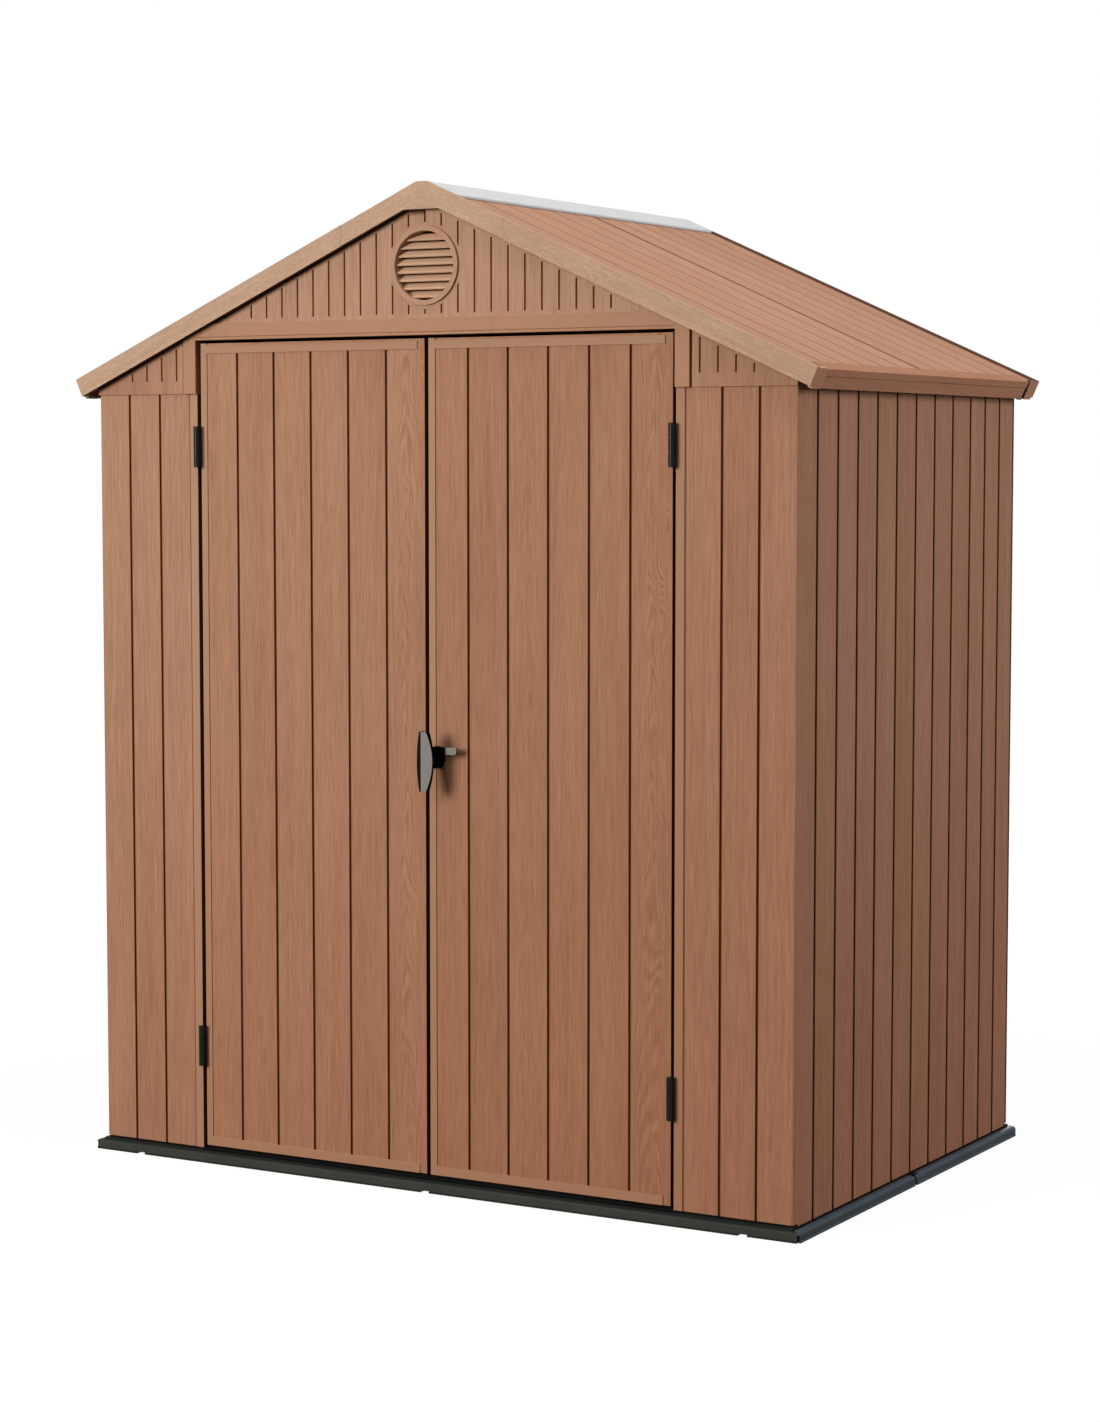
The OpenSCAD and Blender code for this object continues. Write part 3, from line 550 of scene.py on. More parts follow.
@dataclass(frozen=True)
class BoardFinish(Finish):
    """Wood-grained boards, with painted shade in and beside the grooves.

    What lies nearer the front than raised, or within strip of the middle, is smooth.
    """

    name: str
    tones: Tones
    smooth: Colour
    groove_shade: Colour
    boards: Boards
    flank_groove_shade: Colour = (0.062, 0.016, 0.004)
    raised: float = -FAR
    strip: float = 0.0
    figured: float = -FAR
    figured_from: float = 0.6
    faint_figure: float = 0.45
    variety: float = 0.10
    side_numbers: float = 17.0
    shade_tint: Colour = (0.98, 0.88, 0.84)
    shade_tint_span: Span = (1.5, 0.0)
    shade_tint_outward: bool = False
    side_joint_shade: Span = (4.6 * MM, 5.8 * MM)
    joint_edge_shade: Span | None = (2.8 * MM, 4.2 * MM)
    joint_edge_shade_strength: float = 0.75
    face_depth: float = 0.5 * MM
    reveal: float = 0.7
    reveal_shade: Colour = (0.140, 0.052, 0.021)
    eave_shade: EaveShadow | None = None
    surface: Surface = Surface()

    def coat(self, paint: Paint) -> Coat:
        """Lays the grain, in which each board has its own tone and figure.

        Args:
            paint: The finish's graph.

        Returns:
            The coat.
        """
        rows = self.boards.lay_out(paint)
        side_board = paint.plus(rows.side["Board"], self.side_numbers)
        board = paint.choose(rows.sideways, rows.front["Board"], side_board)
        share = paint.choose(rows.sideways, rows.front["Share"], rows.side["Share"])
        chance = paint.node("ShaderNodeTexWhiteNoise", {"W": board}, noise_dimensions="1D")
        drawn = chance.outputs["Value"]
        chosen = paint.math("COMPARE", rows.front["Board"], self.figured, 0.1)
        figure = paint.most(chosen, paint.ramp(drawn, self.figured_from, 1.0, 0.0, self.faint_figure))
        grain = paint.effects.grain
        tone, relief = paint.group(grain, place=paint.place, board=board, share=share, figure=figure)
        tone = paint.scaled(paint.minus(drawn, MIDDLE), self.variety, tone)
        even = paint.most(paint.less(paint.y, self.raised), paint.less(paint.wide, self.strip))
        colour = paint.blend(paint.plus(tone, 0.0, clamp=True), *self.tones)
        colour = paint.blend(even, colour, self.smooth)
        # Painted shade: walls and leaves darken and redden towards the bottom, gables towards their outer
        # ends under the bargeboards.
        course = paint.wide if self.shade_tint_outward else paint.z
        tint = paint.blend(paint.ramp(course, *self.shade_tint_span), WHITE, self.shade_tint)
        colour = paint.blend(1.0, colour, tint, "MULTIPLY")
        return Coat(colour, self.shades(paint, rows, even), tone, paint.choose(even, relief, MIDDLE))

    def shades(self, paint: Paint, rows: Rows, even: Socket) -> Shades:
        """Marks painted shade: in the grooves, on the reveals of the doorway and in the strip under the eave.

        Args:
            paint: The finish's graph.
            rows: The rows of boards.
            even: Mask of the smooth parts.

        Returns:
            Each mask and its shade.
        """
        layout = self.boards
        under_x, under_y = paint.minus(layout.skin_x, paint.wide), paint.minus(layout.skin_y, paint.deep)
        within = paint.times(
            paint.more(rows.across, layout.x_low),
            paint.less(rows.across, layout.x_high),
            paint.more(paint.most(under_y, under_x), layout.corner),
        )
        shades: Shades = []
        # Painted shade on the boards' front faces just beside their joints.
        if self.joint_edge_shade:
            share, rough = rows.front["Share"], paint.minus(1.0, even)
            soft = paint.beside_joints(share, layout.x_pitch, self.joint_edge_shade, self.joint_edge_shade_strength)
            on_face = paint.less(paint.size(under_y), self.face_depth)
            soft = paint.times(soft, within, rough, on_face, paint.less(paint.z, layout.z_high))
            shades.append((soft, self.groove_shade))
        # Painted shade in the grooves, and on side faces beside the boards' joints; darker on the side walls.
        (recess,) = paint.group(paint.effects.recess, depth=paint.least(under_y, under_x))
        edge = paint.beside_joints(rows.side["Share"], layout.y_pitch, self.side_joint_shade, 1.0)
        grooves = paint.most(paint.times(recess, within), paint.times(edge, rows.sideways))
        flank = paint.less(under_x, layout.corner)
        # Painted shade on the faces that look sideways in the doorway: the reveals and the leaves' edges.
        reveal = paint.times(rows.sideways, paint.less(paint.wide, self.reveal))
        shades += [(grooves, paint.blend(flank, self.groove_shade, self.flank_groove_shade)), (reveal, self.reveal_shade)]
        return shades + (self.eave_shade.shades(paint) if self.eave_shade else [])


@dataclass(frozen=True)
class TrimFinish(Finish):
    """Resin trim, with short grain that runs one way, or nearly smooth, and a tan rim before a place."""

    name: str
    tones: Tones
    lay: Lay
    slope: float
    strength: float = 1.0
    fleck: float = 0.0
    flecks: Point = (520.0, 520.0, 110.0)
    eave_shade: EaveShadow | None = None
    rim_before: float = -FAR
    surface: Surface = Surface()

    def coat(self, paint: Paint) -> Coat:
        """Lays the short grain.

        Args:
            paint: The finish's graph.

        Returns:
            The coat.
        """
        laid = self.laid(paint)
        grain = paint.group(paint.effects.grain, place=laid, board=0.0, share=0.0, figure=0.0)
        tone, relief = (paint.choose(self.strength, *pair) for pair in zip(paint.pebble(), grain))
        if self.fleck:
            fleck = paint.minus(paint.noise(laid, self.flecks), MIDDLE)
            tone, relief = paint.scaled(fleck, self.fleck, tone), paint.scaled(fleck, self.fleck, relief)
        tone = paint.plus(tone, 0.0, clamp=True)
        return Coat(paint.blend(tone, *self.tones), self.shades(paint, tone), tone, relief)

    def shades(self, paint: Paint, tone: Socket) -> Shades:
        """Marks the rim, and the painted shadow strip under the eave."""
        rim = (paint.less(paint.y, self.rim_before), paint.blend(tone, *TAN))
        return [rim, *(self.eave_shade.shades(paint) if self.eave_shade else [])]

    def laid(self, paint: Paint) -> Socket:
        """Turns the place so that Z runs along the grain.

        Args:
            paint: The finish's graph.

        Returns:
            The turned place.
        """
        if self.lay is Lay.UP:
            return paint.place
        if self.lay is Lay.EAVE:
            return paint.join(paint.z, paint.x, paint.y)
        run, rise = math.cos(self.slope), math.sin(self.slope)
        along = paint.minus(paint.times(paint.wide, run), paint.times(paint.z, rise))
        square = paint.plus(paint.times(paint.wide, rise), paint.times(paint.z, run))
        return paint.join(square, paint.y, along)


@dataclass(frozen=True, kw_only=True)
class EdgeFinish(TrimFinish):
    """Roof-edge trim with painted shade underneath, and darker, redder sideways faces at the outer ends where
    asked.
    """

    end_tones: Tones = ((0.380, 0.175, 0.095), (0.500, 0.250, 0.146))
    end_from: float = FAR
    end_facing: float = 0.75
    shaded_inside: bool = False

    def shades(self, paint: Paint, tone: Socket) -> Shades:
        """Marks the ends, painted shade on the inner and upper faces where asked, and painted shade on the
        undersides.

        Args:
            paint: The finish's graph.
            tone: The grain's tone.

        Returns:
            Each mask and its shade.
        """
        outer = paint.more(paint.size(paint.to_right), self.end_facing)
        ends = paint.times(outer, paint.more(paint.wide, self.end_from))
        shades = [(ends, paint.blend(tone, *self.end_tones))]
        # Painted shade on the rear bargeboards' inner and upper faces.
        if self.shaded_inside:
            inner, upper = paint.ramp(paint.to_back, -0.3, -0.1, 1.0, 0.0), paint.ramp(paint.up, 0.5, 0.8)
            shades.append((paint.most(inner, upper), BACK_EDGE_SHADE))
        # Painted shade on every face that looks down.
        return [*shades, (paint.ramp(paint.up, -0.8, -0.6, 1.0, 0.0), UNDER_SHADE)]


@dataclass(frozen=True, kw_only=True)
class RoofFinish(TrimFinish):
    """Grained panels, with painted shade in faint grooves, along the joint between the panels, beside the
    skylight and at the back.
    """

    board_pitch: float
    edge_x: float
    edge_y: float
    groove_shade: Span = (2.5 * MM, 4.5 * MM)
    groove_strength: float = 0.5
    joint: Span = (5.5 * MM, 11 * MM)
    joint_strength: float = 0.95
    edge_shade_strength: float = 0.85

    def shades(self, paint: Paint, tone: Socket) -> Shades:
        """Marks painted shade in the grooves, along the joint between the panels, beside the skylight and at
        the back edge.

        Args:
            paint: The finish's graph.
            tone: The grain's tone, not used here.

        Returns:
            Each mask and its shade.
        """
        _, share = paint.group(paint.effects.boards, across=paint.y, start=0.0, pitch=self.board_pitch)
        groove_shade = paint.beside_joints(share, self.board_pitch, self.groove_shade, self.groove_strength)
        joint = paint.ramp(paint.deep, *self.joint, self.joint_strength, 0.0)
        # Painted shadow beside the skylight's edge and along the panels' back edge.
        sheet = paint.ramp(paint.wide, self.edge_x + 3 * MM, self.edge_x + 6 * MM, self.edge_shade_strength, 0.0)
        back = paint.ramp(paint.y, self.edge_y - 5 * MM, self.edge_y - 3 * MM, 0.0, self.edge_shade_strength)
        return [(paint.most(groove_shade, joint), SHADE), (paint.most(sheet, back), SHADE)]


@dataclass(frozen=True)
class SlabFinish(Finish):
    """Dark floor rim resin. Painted light and shade: tones by facing, black along the walls' feet and where
    the halves meet.
    """

    name: str
    half_width: float
    half_depth: float
    doorway: float
    # Lit and shaded copies of one resin: painted shade on upward faces in front, painted light on upward
    # faces at the sides.
    front: Colour = (0.052, 0.050, 0.040)
    front_top_shaded: Colour = (0.010, 0.014, 0.011)
    side: Colour = (0.027, 0.034, 0.039)
    side_top_lit: Colour = (0.067, 0.090, 0.108)
    inner: Colour = (0.034, 0.035, 0.032)
    black: Colour = (0.004, 0.004, 0.004)
    upward: Span = (0.15, 0.6)
    mottled: float = 0.3
    foot: float = 4 * MM
    sill: float = 9 * MM
    joint: float = 2.5 * MM
    catch: float = 16 * MM
    surface: Surface = Surface(roughness=0.5, specular=0.06, bump=0.12, bump_height=0.08 * MM)

    def coat(self, paint: Paint) -> Coat:
        """Lays the rim's four tones, lit and shaded copies by facing, and black over them.

        Args:
            paint: The finish's graph.

        Returns:
            The coat.
        """
        tone, relief = paint.pebble()
        beside, before = paint.minus(paint.wide, self.half_width), paint.minus(paint.deep, self.half_depth)
        upward = paint.ramp(paint.up, *self.upward)
        front = paint.blend(upward, self.front, self.front_top_shaded)
        side = paint.blend(upward, self.side, self.side_top_lit)
        out = paint.most(beside, before)
        foot = paint.choose(paint.less(paint.wide, self.doorway), self.foot, self.sill)
        foot = paint.times(paint.less(out, foot), paint.more(out, -self.sill))
        joint = paint.less(paint.deep, self.joint)
        catch = paint.less(paint.size(paint.minus(paint.y, self.catch / 2)), self.catch)
        catch = paint.times(catch, paint.less(out, self.catch))
        # Over the inner deck's tone and the random mottling, painted shade: black along the walls' feet,
        # wider under the doorway, and in the joint between the halves; black also over a notch beside the
        # joint.
        shades = [
            (paint.less(out, -self.sill), self.inner),
            (paint.ramp(tone, *TONE_SPAN, self.mottled, 0.0), self.black),
            (paint.most(foot, joint, catch), self.black),
        ]
        return Coat(paint.blend(paint.more(beside, before), front, side), shades, tone, relief)


@dataclass(frozen=True)
class HandleFinish(Finish):
    """Black plastic with painted reflection: grey metallic faces that look to the right or lie past a place
    along X.
    """

    name: str
    painted_reflection: Colour = (0.26, 0.245, 0.215)
    black: Colour = (0.003, 0.003, 0.003)
    mottled: float = 0.15
    metal: float = 0.9
    past: float = FAR
    surface: Surface = Surface(roughness=0.34, specular=0.015, bump=0.05, bump_height=0.05 * MM)

    def coat(self, paint: Paint) -> Coat:
        """Lays black, and the painted grey reflection over it.

        Args:
            paint: The finish's graph.

        Returns:
            The coat.
        """
        tone, relief = paint.pebble()
        # Painted reflection: grey metal past a place along X when one is given, otherwise on faces that look
        # right and to the front.
        if self.past < FAR:
            painted_reflection = paint.ramp(paint.x, self.past - 1 * MM, self.past + 1 * MM)
        else:
            painted_reflection = paint.times(paint.ramp(paint.to_right, 0.0, 0.08), paint.less(paint.to_back, -0.5))
        shades = [(painted_reflection, self.painted_reflection), (paint.ramp(tone, *TONE_SPAN, self.mottled, 0.0), self.black)]
        return Coat(self.black, shades, tone, relief, paint.times(painted_reflection, self.metal))


@dataclass(frozen=True)
class PebbleFinish(Finish):
    """Moulded resin or plastic with a fine pebbled texture."""

    name: str
    tones: Tones
    surface: Surface

    def coat(self, paint: Paint) -> Coat:
        """Lays the pebbled texture all over."""
        tone, relief = paint.pebble()
        return Coat(paint.blend(tone, *self.tones), [], tone, relief)


# ---- the workshop ----


def add_object(name: str, data: bpy.types.ID) -> bpy.types.Object:
    """Adds an object to the scene.

    Args:
        name: Its name.
        data: Its mesh, lamp or camera.

    Returns:
        The object.
    """
    made = bpy.data.objects.new(name, data)
    bpy.context.scene.collection.objects.link(made)
    return made


def smooth_shading_tree() -> Tree:
    """A geometry node group that drops a mesh's stored normals and shades it smooth.

    Returns:
        The group, for a modifier.
    """
    tree = bpy.data.node_groups.new("smooth_shading", "GeometryNodeTree")
    for way in ("INPUT", "OUTPUT"):
        tree.interface.new_socket("Geometry", in_out=way, socket_type="NodeSocketGeometry")
    graph = Graph(tree)
    mesh = graph.node("NodeGroupInput").outputs[0]
    dropped = graph.node("GeometryNodeRemoveAttribute", {"Geometry": mesh, "Name": "custom_normal"})
    smooth = graph.node("GeometryNodeSetShadeSmooth", {"Geometry": dropped.outputs[0]})
    graph.node("NodeGroupOutput", {0: smooth.outputs[0]})
    return tree


@dataclass(frozen=True)
class Workshop:
    """What every sub-assembly is dressed with."""

    effects: Effects
    smooth_shading: Tree
    sharpest: float = math.radians(28)
    flat: float = math.radians(0.4)
    same_point: float = 0.01 * MM
    segments: int = 2

    def dress(self, names: list[str], finish: Finish, radius: float) -> bpy.types.Material:
        """Gives nodes a finish and rounded edges.

        Args:
            names: The nodes.
            finish: Their finish.
            radius: Width of the rounding, in metres.

        Returns:
            The finish's material.
        """
        material = finish.material(self.effects)
        rounded = {"width": radius, "segments": self.segments, "limit_method": "ANGLE"}
        for name in names:
            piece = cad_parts[name]
            piece.data.materials.clear()
            piece.data.materials.append(material)
            for label, kind, settings in (
                ("weld", "WELD", {"merge_threshold": self.same_point}),
                ("flats", "DECIMATE", {"decimate_type": "DISSOLVE", "angle_limit": self.flat}),
                ("rounded_edges", "BEVEL", {**rounded, "angle_limit": self.sharpest}),
                ("shade", "NODES", {"node_group": self.smooth_shading}),
                ("even_normals", "WEIGHTED_NORMAL", {}),
            ):
                modifier = piece.modifiers.new(label, kind)
                for setting, value in settings.items():
                    setattr(modifier, setting, value)
            LOG.info("dressed %s with %s", name, material.name)
        return material


# ---- sub-assemblies ----

EAVE_DEPTH = 47.5 * MM
RIDGE_FLAT = 44 * MM
SIDES = ("left", "right")


@dataclass
class SubAssembly:
    """Some pieces of the shed, and the workshop that they are dressed in."""

    shop: Workshop


@dataclass
class FloorSlab(SubAssembly):
    """The two dark halves of the floor."""

    rounding: float = 1.2 * MM

    def dress(self) -> None:
        """Dresses both halves."""
        _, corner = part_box("rear_right_corner")
        jamb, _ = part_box("front_right_corner")
        finish = SlabFinish("base_resin", half_width=corner.x, half_depth=corner.y, doorway=jamb.x)
        self.shop.dress(["floor_front", "floor_rear"], finish, self.rounding)


@dataclass
class Walls(SubAssembly):
    """The wall panels, with their moulded boards."""

    front_board: float = 86.5 * MM
    long_board: float = 101 * MM
    short_board: float = 88 * MM
    wall_boards: int = 5
    jamb_strip: float = 21 * MM
    strip_rise: float = 1.5 * MM
    edge: float = 4 * MM
    rounding: float = 0.7 * MM

    def dress(self) -> None:
        """Dresses the corners, the side walls and the back wall."""
        low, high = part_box("front_right_corner")
        rear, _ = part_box("rear_right_corner")
        strip = low.x + self.jamb_strip
        middle_boards = Boards(
            x_start=0.0,
            x_pitch=rear.x / self.wall_boards,
            y_start=high.y,
            y_pitch=(rear.y - high.y) / self.wall_boards,
            skin_x=high.x,
            skin_y=-low.y - self.strip_rise,
        )
        front_boards = replace(
            middle_boards,
            x_start=strip,
            x_pitch=self.front_board,
            y_pitch=self.long_board,
            x_low=low.x + self.edge,
        )
        rear_boards = replace(
            middle_boards, x_start=rear.x, x_pitch=self.long_board, y_start=rear.y, y_pitch=self.short_board
        )
        middle = BoardFinish("wall_resin", BROWN, BROWN_SMOOTH, SHADE, middle_boards)
        # Painted light on the left of the front: the left corner's tones and smooth colour are a lighter,
        # paler copy of the right corner's. The right corner's smooth strip is darker than the walls'.
        right = replace(
            middle, name="front_panel_resin", smooth=(0.396, 0.210, 0.120), boards=front_boards, strip=strip
        )
        left = replace(
            right,
            name="left_panel_resin",
            tones=((0.318, 0.160, 0.092), (0.466, 0.256, 0.160)),
            smooth=(0.415, 0.238, 0.148),
        )
        rear_corners = replace(middle, name="rear_panel_resin", boards=rear_boards)
        for nodes, finish in (
            (["front_left_corner"], left),
            (["front_right_corner"], right),
            ([f"{side}_wall" for side in SIDES] + [f"rear_wall_{side}" for side in SIDES], middle),
            ([f"rear_{side}_corner" for side in SIDES], rear_corners),
        ):
            self.shop.dress(nodes, finish, self.rounding)


@dataclass
class Gables(SubAssembly):
    """The slotted gable panels."""

    eave_shade: EaveShadow
    slot_pitch: float = 42 * MM
    rounding: float = 0.6 * MM

    def dress(self) -> None:
        """Dresses the front and back gables."""
        low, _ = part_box("front_gable_centre")
        # Painted shade: SLOT_SHADE in the slots, and a darker tint towards the gable's outer ends.
        finish = BoardFinish(
            "gable_resin",
            TAN,
            TAN[1],
            SLOT_SHADE,
            boards=Boards(x_start=0.0, x_pitch=self.slot_pitch, mirrored=False, skin_y=-low.y),
            shade_tint=(0.86, 0.79, 0.76),
            shade_tint_span=(0.52, 0.76),
            shade_tint_outward=True,
            joint_edge_shade=None,
            reveal=0.0,
            eave_shade=self.eave_shade,
        )
        names = [f"{end}_gable_{side}" for end in ("front", "rear") for side in SIDES]
        self.shop.dress([*names, "front_gable_centre"], finish, self.rounding)


@dataclass
class Header(SubAssembly):
    """The smooth trim round the top of the doorway, and the vent."""

    slope: float
    eave_shade: EaveShadow
    rounding: float = 0.8 * MM
    rim_depth: float = 0.5 * MM

    def dress(self) -> None:
        """Dresses the trim and the vent."""
        trim = TrimFinish(
            "smooth_trim_resin",
            tones=((0.380, 0.196, 0.114), (0.440, 0.232, 0.138)),
            lay=Lay.UP,
            slope=self.slope,
            strength=0.25,
            eave_shade=self.eave_shade,
            surface=Surface(roughness=0.48, bump=0.12, bump_height=0.1 * MM),
        )
        vent = replace(
            trim,
            name="vent_trim_resin",
            tones=((0.54, 0.325, 0.20), (0.62, 0.385, 0.245)),
            eave_shade=None,
            rim_before=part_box("front_gable_centre")[0].y - self.rim_depth,
        )
        self.shop.dress([f"header_{side}" for side in SIDES], trim, self.rounding)
        self.shop.dress(["vent_louvre"], vent, self.rounding)


@dataclass
class Roof(SubAssembly):
    """The roof panels, their edges and the skylight."""

    slope: float
    roof_boards: int = 6
    end_from: float = 0.9
    rounding: float = 0.8 * MM
    barge_rounding: float = 1.5 * MM
    fascia_rounding: float = 1.9 * MM

    def dress(self) -> None:
        """Dresses the panels, the bargeboards, the fascias and the skylight."""
        self.dress_panels()
        self.dress_edges()
        sheet = PebbleFinish(
            "skylight_sheet",
            tones=((0.64, 0.67, 0.645), (0.72, 0.745, 0.72)),
            surface=Surface(roughness=0.4, specular=0.25, transmission=0.2, bump=0.05, bump_height=0.05 * MM),
        )
        self.shop.dress(["skylight"], sheet, self.rounding)

    def dress_panels(self) -> None:
        """Dresses the four panels."""
        low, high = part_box("roof_right_front")
        panels = RoofFinish(
            "roof_resin",
            tones=((0.390, 0.195, 0.112), (0.520, 0.280, 0.170)),
            lay=Lay.SLOPE,
            slope=self.slope,
            surface=Surface(roughness=0.55, bump=0.4),
            fleck=0.6,
            board_pitch=(high.y - low.y) / self.roof_boards,
            edge_x=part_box("skylight")[1].x,
            edge_y=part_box("roof_right_rear")[1].y,
        )
        names = [f"roof_{side}_{end}" for side in SIDES for end in ("front", "rear")]
        self.shop.dress(names, panels, self.rounding)

    def dress_edges(self) -> None:
        """Dresses the bargeboards, the pieces that join them at the ridge, and the fascias."""
        front = EdgeFinish(
            "bargeboard_resin",
            tones=((0.365, 0.227, 0.145), (0.585, 0.374, 0.250)),
            lay=Lay.SLOPE,
            slope=self.slope,
            strength=0.5,
            fleck=1.1,
            end_from=self.end_from,
        )
        rear = replace(front, name="rear_bargeboard_resin", shaded_inside=True)
        for end, finish in (("front", front), ("rear", rear)):
            names = [f"{end}_{piece}" for piece in ("barge_left", "barge_right", "ridge_end")]
            self.shop.dress(names, finish, self.barge_rounding)
        fascias = EdgeFinish(
            "fascia_resin",
            tones=((0.340, 0.150, 0.080), (0.450, 0.215, 0.122)),
            lay=Lay.EAVE,
            slope=self.slope,
            strength=0.6,
        )
        self.shop.dress([f"eave_fascia_{side}" for side in SIDES], fascias, self.fascia_rounding)


@dataclass
class Truss(SubAssembly):
    """The steel bar under the roof, with the bolts that hold its feet to the walls."""

    foot: float = 6 * MM
    bolt_radius: float = 7 * MM
    bolt_height: float = 4 * MM
    bolt_brim: float = 1.6 * MM
    bolt_rises: Span = (14 * MM, 42 * MM)
    turns: int = 24
    steps: int = 6
    rounding: float = 1.5 * MM

    def add_bolt(self, mesh: bmesh.types.BMesh, place: Vector, side: int) -> None:
        """Adds a domed head that looks towards the middle of the shed.

        Args:
            mesh: The mesh that takes the bolt.
            place: Centre of the head's foot.
            side: 1 on the right foot and -1 on the left one.
        """
        profile = [(self.bolt_radius, 0.0)]
        for k in range(self.steps):
            angle = math.pi / 2 * k / self.steps
            height = self.bolt_brim + (self.bolt_height - self.bolt_brim) * math.sin(angle)
            profile.append((self.bolt_radius * math.cos(angle), height))
        circle = [2 * math.pi * k / self.turns for k in range(self.turns)]
        rings = [
            [mesh.verts.new(place + Vector((-side * h, r * math.cos(a), r * math.sin(a)))) for a in circle]
            for r, h in profile
        ]
        for lower, upper in zip(rings, rings[1:]):
            for k in range(self.turns):
                after = (k + 1) % self.turns
                mesh.faces.new((lower[k], lower[after], upper[after], upper[k]))
        mesh.faces.new(rings[0][::-1])
        mesh.faces.new(rings[-1])

    def build(self) -> bpy.types.Object:
        """Builds the bolts of both feet.

        Returns:
            The bolts, riding on the shed.
        """
        low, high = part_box("roof_truss")
        mesh = bmesh.new()
        for side in (-1, 1):
            for rise in self.bolt_rises:
                self.add_bolt(mesh, Vector((side * (high.x - self.foot), 0.0, low.z + rise)), side)
        bmesh.ops.recalc_face_normals(mesh, faces=mesh.faces)
        data = bpy.data.meshes.new("truss_bolts")
        mesh.to_mesh(data)
        mesh.free()
        data.shade_smooth()
        bolts = add_object("truss_bolts", data)
        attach(bolts, "shed")
        LOG.info("built %s", bolts.name)
        return bolts

    def dress(self) -> None:
        """Dresses the bar and its bolts."""
        finish = PebbleFinish(
            "truss_steel",
            tones=((0.40, 0.41, 0.42), (0.56, 0.57, 0.58)),
            surface=Surface(roughness=0.45, metallic=0.85, bump=0.1, bump_height=0.05 * MM),
        )
        steel = self.shop.dress(["roof_truss"], finish, self.rounding)
        self.build().data.materials.append(steel)


@dataclass
class DoorLeaf(SubAssembly):
    """One of the two leaves."""

    node: str
    tones: Tones = ((0.309, 0.147, 0.081), (0.456, 0.238, 0.143))
    figured_board: int = 5
    board_count: int = 6
    frame_rise: float = 2 * MM
    edge: float = 4 * MM
    top_lip: float = 6 * MM
    rounding: float = 0.8 * MM

    def dress(self) -> None:
        """Dresses the leaf, with arched figure on its right-hand board."""
        low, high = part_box(self.node)
        face = low.y + self.frame_rise
        boards = Boards(
            x_start=low.x,
            x_pitch=(high.x - low.x) / self.board_count,
            mirrored=False,
            skin_y=-face,
            x_low=low.x + self.edge,
            x_high=high.x - self.edge,
            z_high=high.z - self.top_lip,
        )
        finish = BoardFinish(
            f"{self.node}_resin",
            self.tones,
            BROWN_SMOOTH,
            SHADE,
            boards,
            raised=face - self.frame_rise / 2,
            figured=float(self.figured_board),
        )
        self.shop.dress([self.node], finish, self.rounding)


@dataclass
class Fittings(SubAssembly):
    """The black hinges, clips and handle."""

    rounding: float = 0.5 * MM
    tab_reflection_from: float = 62 * MM

    def dress(self) -> None:
        """Dresses the black plastic pieces and the grip."""
        plastic = PebbleFinish(
            "black_plastic",
            tones=((0.004, 0.004, 0.004), (0.009, 0.010, 0.009)),
            surface=Surface(roughness=0.26, specular=0.10, bump=0.08, bump_height=0.05 * MM),
        )
        hinges = [f"hinge_{part}_{side}" for part in ("jamb", "leaf") for side in SIDES]
        # Painted reflection: grey on the grip's faces that look right and on the tab's end.
        tab = HandleFinish("rose_and_tab", painted_reflection=(0.088, 0.083, 0.071), past=self.tab_reflection_from)
        for names, finish in (
            ([*hinges, "eave_clips", "handle_spindle"], plastic),
            (["handle_grip"], HandleFinish("grip_faces")),
            (["handle_rose"], tab),
        ):
            self.shop.dress(names, finish, self.rounding)


# ---- studio ----


@dataclass(frozen=True)
class Lamp:
    """A soft square lamp."""

    name: str
    place: Point
    aim: Point
    size: float
    power: float
    tint: Colour = WHITE

    def build(self) -> None:
        """Adds the lamp."""
        data = bpy.data.lights.new(self.name, "AREA")
        data.shape = "SQUARE"
        data.size = self.size
        data.energy = self.power
        data.color = self.tint
        lamp = add_object(self.name, data)
        lamp.location = self.place
        way = Vector(self.aim) - Vector(self.place)
        lamp.rotation_euler = way.to_track_quat("-Z", "Y").to_euler()


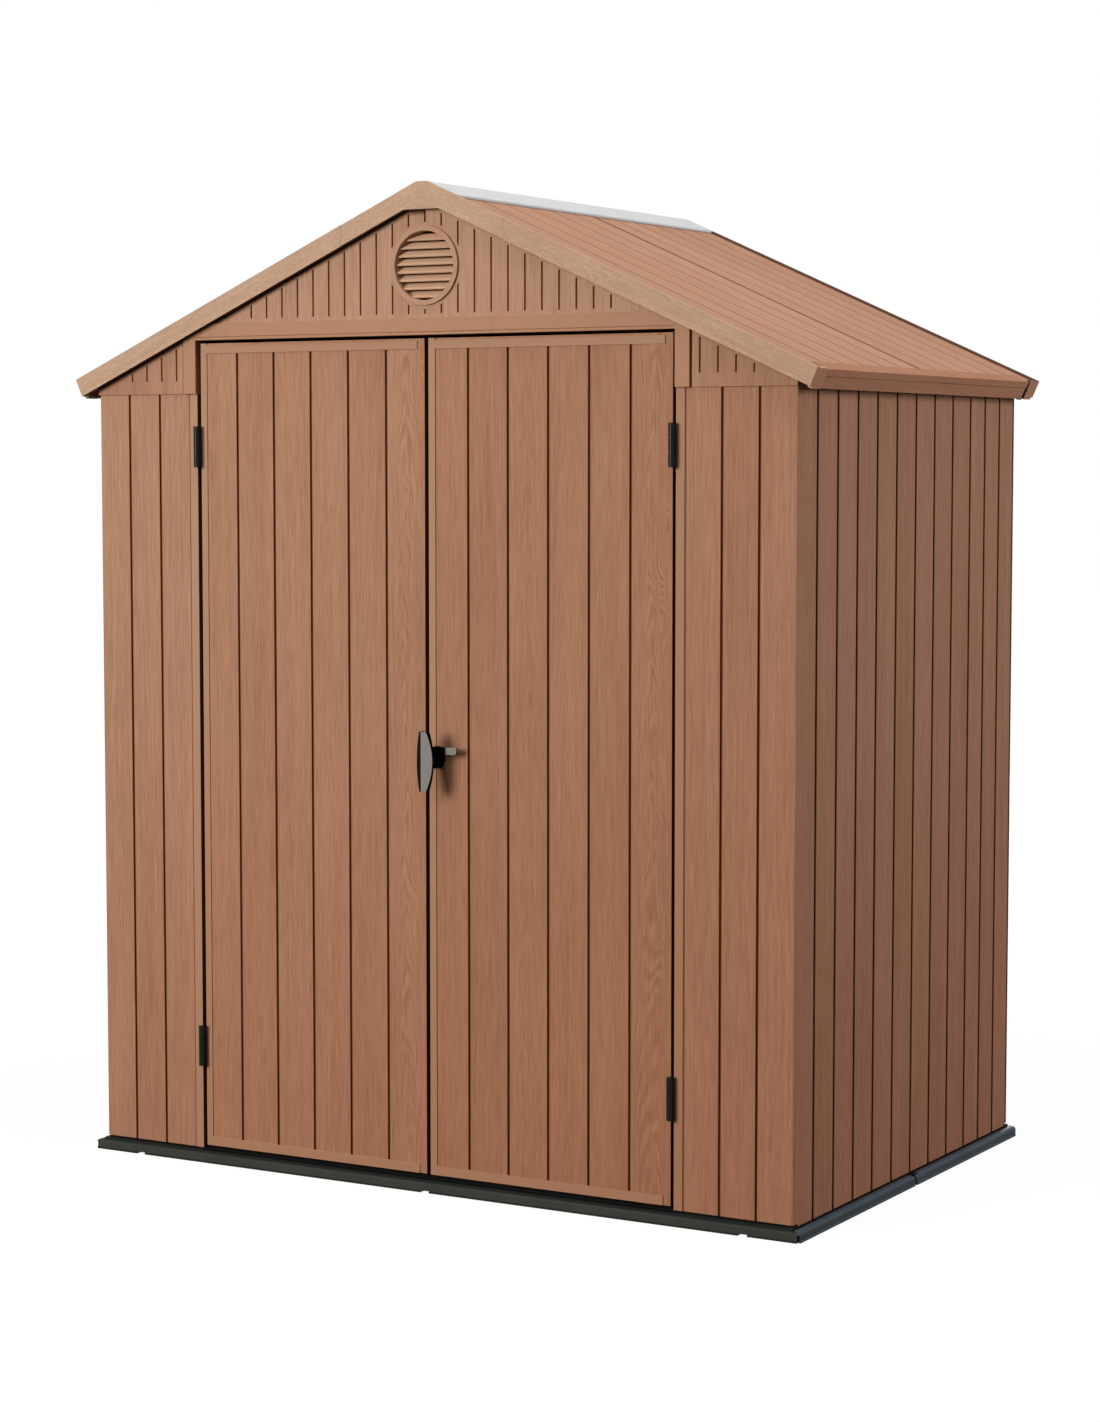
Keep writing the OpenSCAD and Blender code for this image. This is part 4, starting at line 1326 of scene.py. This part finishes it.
@dataclass
class Studio:
    """Camera, lamps, backdrop and floor."""

    camera_place: Point = (3.646, -6.3771, 1.6081)
    camera_turns: Point = (85.514, 0.0, 29.9711)
    lens: float = 78.877
    sensor: float = 36.0
    fill: float = 0.14
    floor_reach: float = 30.0
    floor_drop: float = 0.2 * MM
    floor_glow: float = 0.945
    floor_tones: Span = (0.06, 0.08)
    shadow_reach: Span = (1.5, 4.0)

    def build(self) -> None:
        """Builds the whole studio."""
        self.add_camera()
        self.add_backdrop()
        self.add_floor()
        for lamp in (
            Lamp("key_lamp", (-3.9, -9.0, 2.9), (-0.2, -0.3, 1.5), 3.4, 644.0),
            Lamp("front_lamp", (-0.9, -6.6, 4.4), (0.0, 0.0, 2.0), 3.4, 118.0),
            Lamp("side_lamp", (5.4, 0.5, 2.8), (0.6, 0.1, 1.5), 2.4, 126.0, (0.98, 1.0, 1.07)),
            Lamp("top_lamp", (0.5, -1.0, 6.6), (0.3, 0.0, 2.0), 3.0, 158.0),
            Lamp("back_lamp", (-1.3, 9.0, 1.2), (0.0, 0.6, 1.2), 2.4, 330.0),
        ):
            lamp.build()

    def add_camera(self) -> None:
        """Adds the camera and makes it the scene's own."""
        data = bpy.data.cameras.new("camera")
        data.lens = self.lens
        data.sensor_width = self.sensor
        camera = add_object("camera", data)
        camera.location = self.camera_place
        camera.rotation_euler = [math.radians(turn) for turn in self.camera_turns]
        bpy.context.scene.camera = camera

    @staticmethod
    def seen(graph: Graph) -> Socket:
        """Marks the rays that look straight at the backdrop, or at it in a mirror or through glass."""
        path = graph.node("ShaderNodeLightPath")
        return graph.most(*(path.outputs[f"Is {kind} Ray"] for kind in ("Camera", "Glossy", "Transmission")))

    def add_backdrop(self) -> None:
        """Adds a world that looks white and gives a plain low fill."""
        world = bpy.data.worlds.new("studio")
        bpy.context.scene.world = world
        world.use_nodes = True
        graph = Graph(world.node_tree)
        graph.tree.nodes.clear()
        strength = graph.choose(self.seen(graph), self.fill, 1.0)
        light = graph.node("ShaderNodeBackground", {"Color": WHITE, "Strength": strength})
        graph.node("ShaderNodeOutputWorld", {"Surface": light.outputs[0]})

    def add_floor(self) -> None:
        """Adds a wide pale floor that keeps a faint shadow."""
        reach = self.floor_reach
        mesh = bpy.data.meshes.new("studio_floor")
        corners = ((-reach, -reach), (reach, -reach), (reach, reach), (-reach, reach))
        mesh.from_pydata([(x, y, 0.0) for x, y in corners], [], [(0, 1, 2, 3)])
        floor = add_object("studio_floor", mesh)
        floor.location.z = -self.floor_drop

        material = bpy.data.materials.new("pale_floor")
        material.use_nodes = True
        graph = Graph(material.node_tree)
        graph.tree.nodes.clear()
        place = graph.node("ShaderNodeTexCoord").outputs["Object"]
        clouds = graph.noise(place, (0.6, 0.6, 0.6), 1.0)
        x, y, _ = graph.split(place)
        away = graph.math("SQRT", graph.plus(graph.times(x, x), graph.times(y, y)))
        pale = graph.ramp(away, *self.shadow_reach, self.floor_glow, 1.0)
        tones = graph.ramp(clouds, 0.0, 1.0, *self.floor_tones)
        matt = graph.node("ShaderNodeBsdfDiffuse", {"Color": tones})
        glow = graph.node("ShaderNodeEmission", {"Strength": graph.times(self.seen(graph), pale)})
        both = graph.node("ShaderNodeAddShader", {0: matt.outputs[0], 1: glow.outputs[0]})
        graph.node("ShaderNodeOutputMaterial", {"Surface": both.outputs[0]})
        mesh.materials.append(material)


def left_eave_shadow(slope: float) -> EaveShadow:
    """Places the painted shadow strip under the left bargeboard in front.

    Args:
        slope: The roof's slope in radians.

    Returns:
        The strip.
    """
    low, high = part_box("front_ridge_end")
    rise = (high.x - RIDGE_FLAT) * math.tan(slope)
    return EaveShadow(slope, high.x, low.z, low.z + rise)


def roof_slope() -> float:
    """Finds the slope of the roof from a bargeboard's box.

    Returns:
        The slope, in radians.
    """
    rounds = 20
    low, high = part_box("front_barge_right")
    rise, run = high.z - low.z, high.x - low.x
    guess = math.atan2(rise, run)
    for _ in range(rounds):
        guess = math.atan2(rise - EAVE_DEPTH * math.cos(guess), run)
    return guess


def main() -> None:
    """Builds and dresses the shed, then the studio round it."""
    logging.basicConfig(level=logging.INFO, format="%(message)s")
    bpy.context.scene.view_settings.view_transform = "Standard"
    shop = Workshop(Effects(), smooth_shading_tree())
    slope = roof_slope()
    eave_shadow = left_eave_shadow(slope)
    for part in (
        FloorSlab(shop),
        Walls(shop),
        Gables(shop, eave_shadow),
        Header(shop, slope, eave_shadow),
        Roof(shop, slope),
        Truss(shop),
        DoorLeaf(shop, "door_left"),
        # Painted shade on the right of the front: the right leaf's tones are a darker, redder copy of the
        # left leaf's.
        DoorLeaf(shop, "door_right", ((0.296, 0.136, 0.073), (0.436, 0.220, 0.129))),
        Fittings(shop),
    ):
        part.dress()
    Studio().build()


if __name__ == "__main__":
    main()
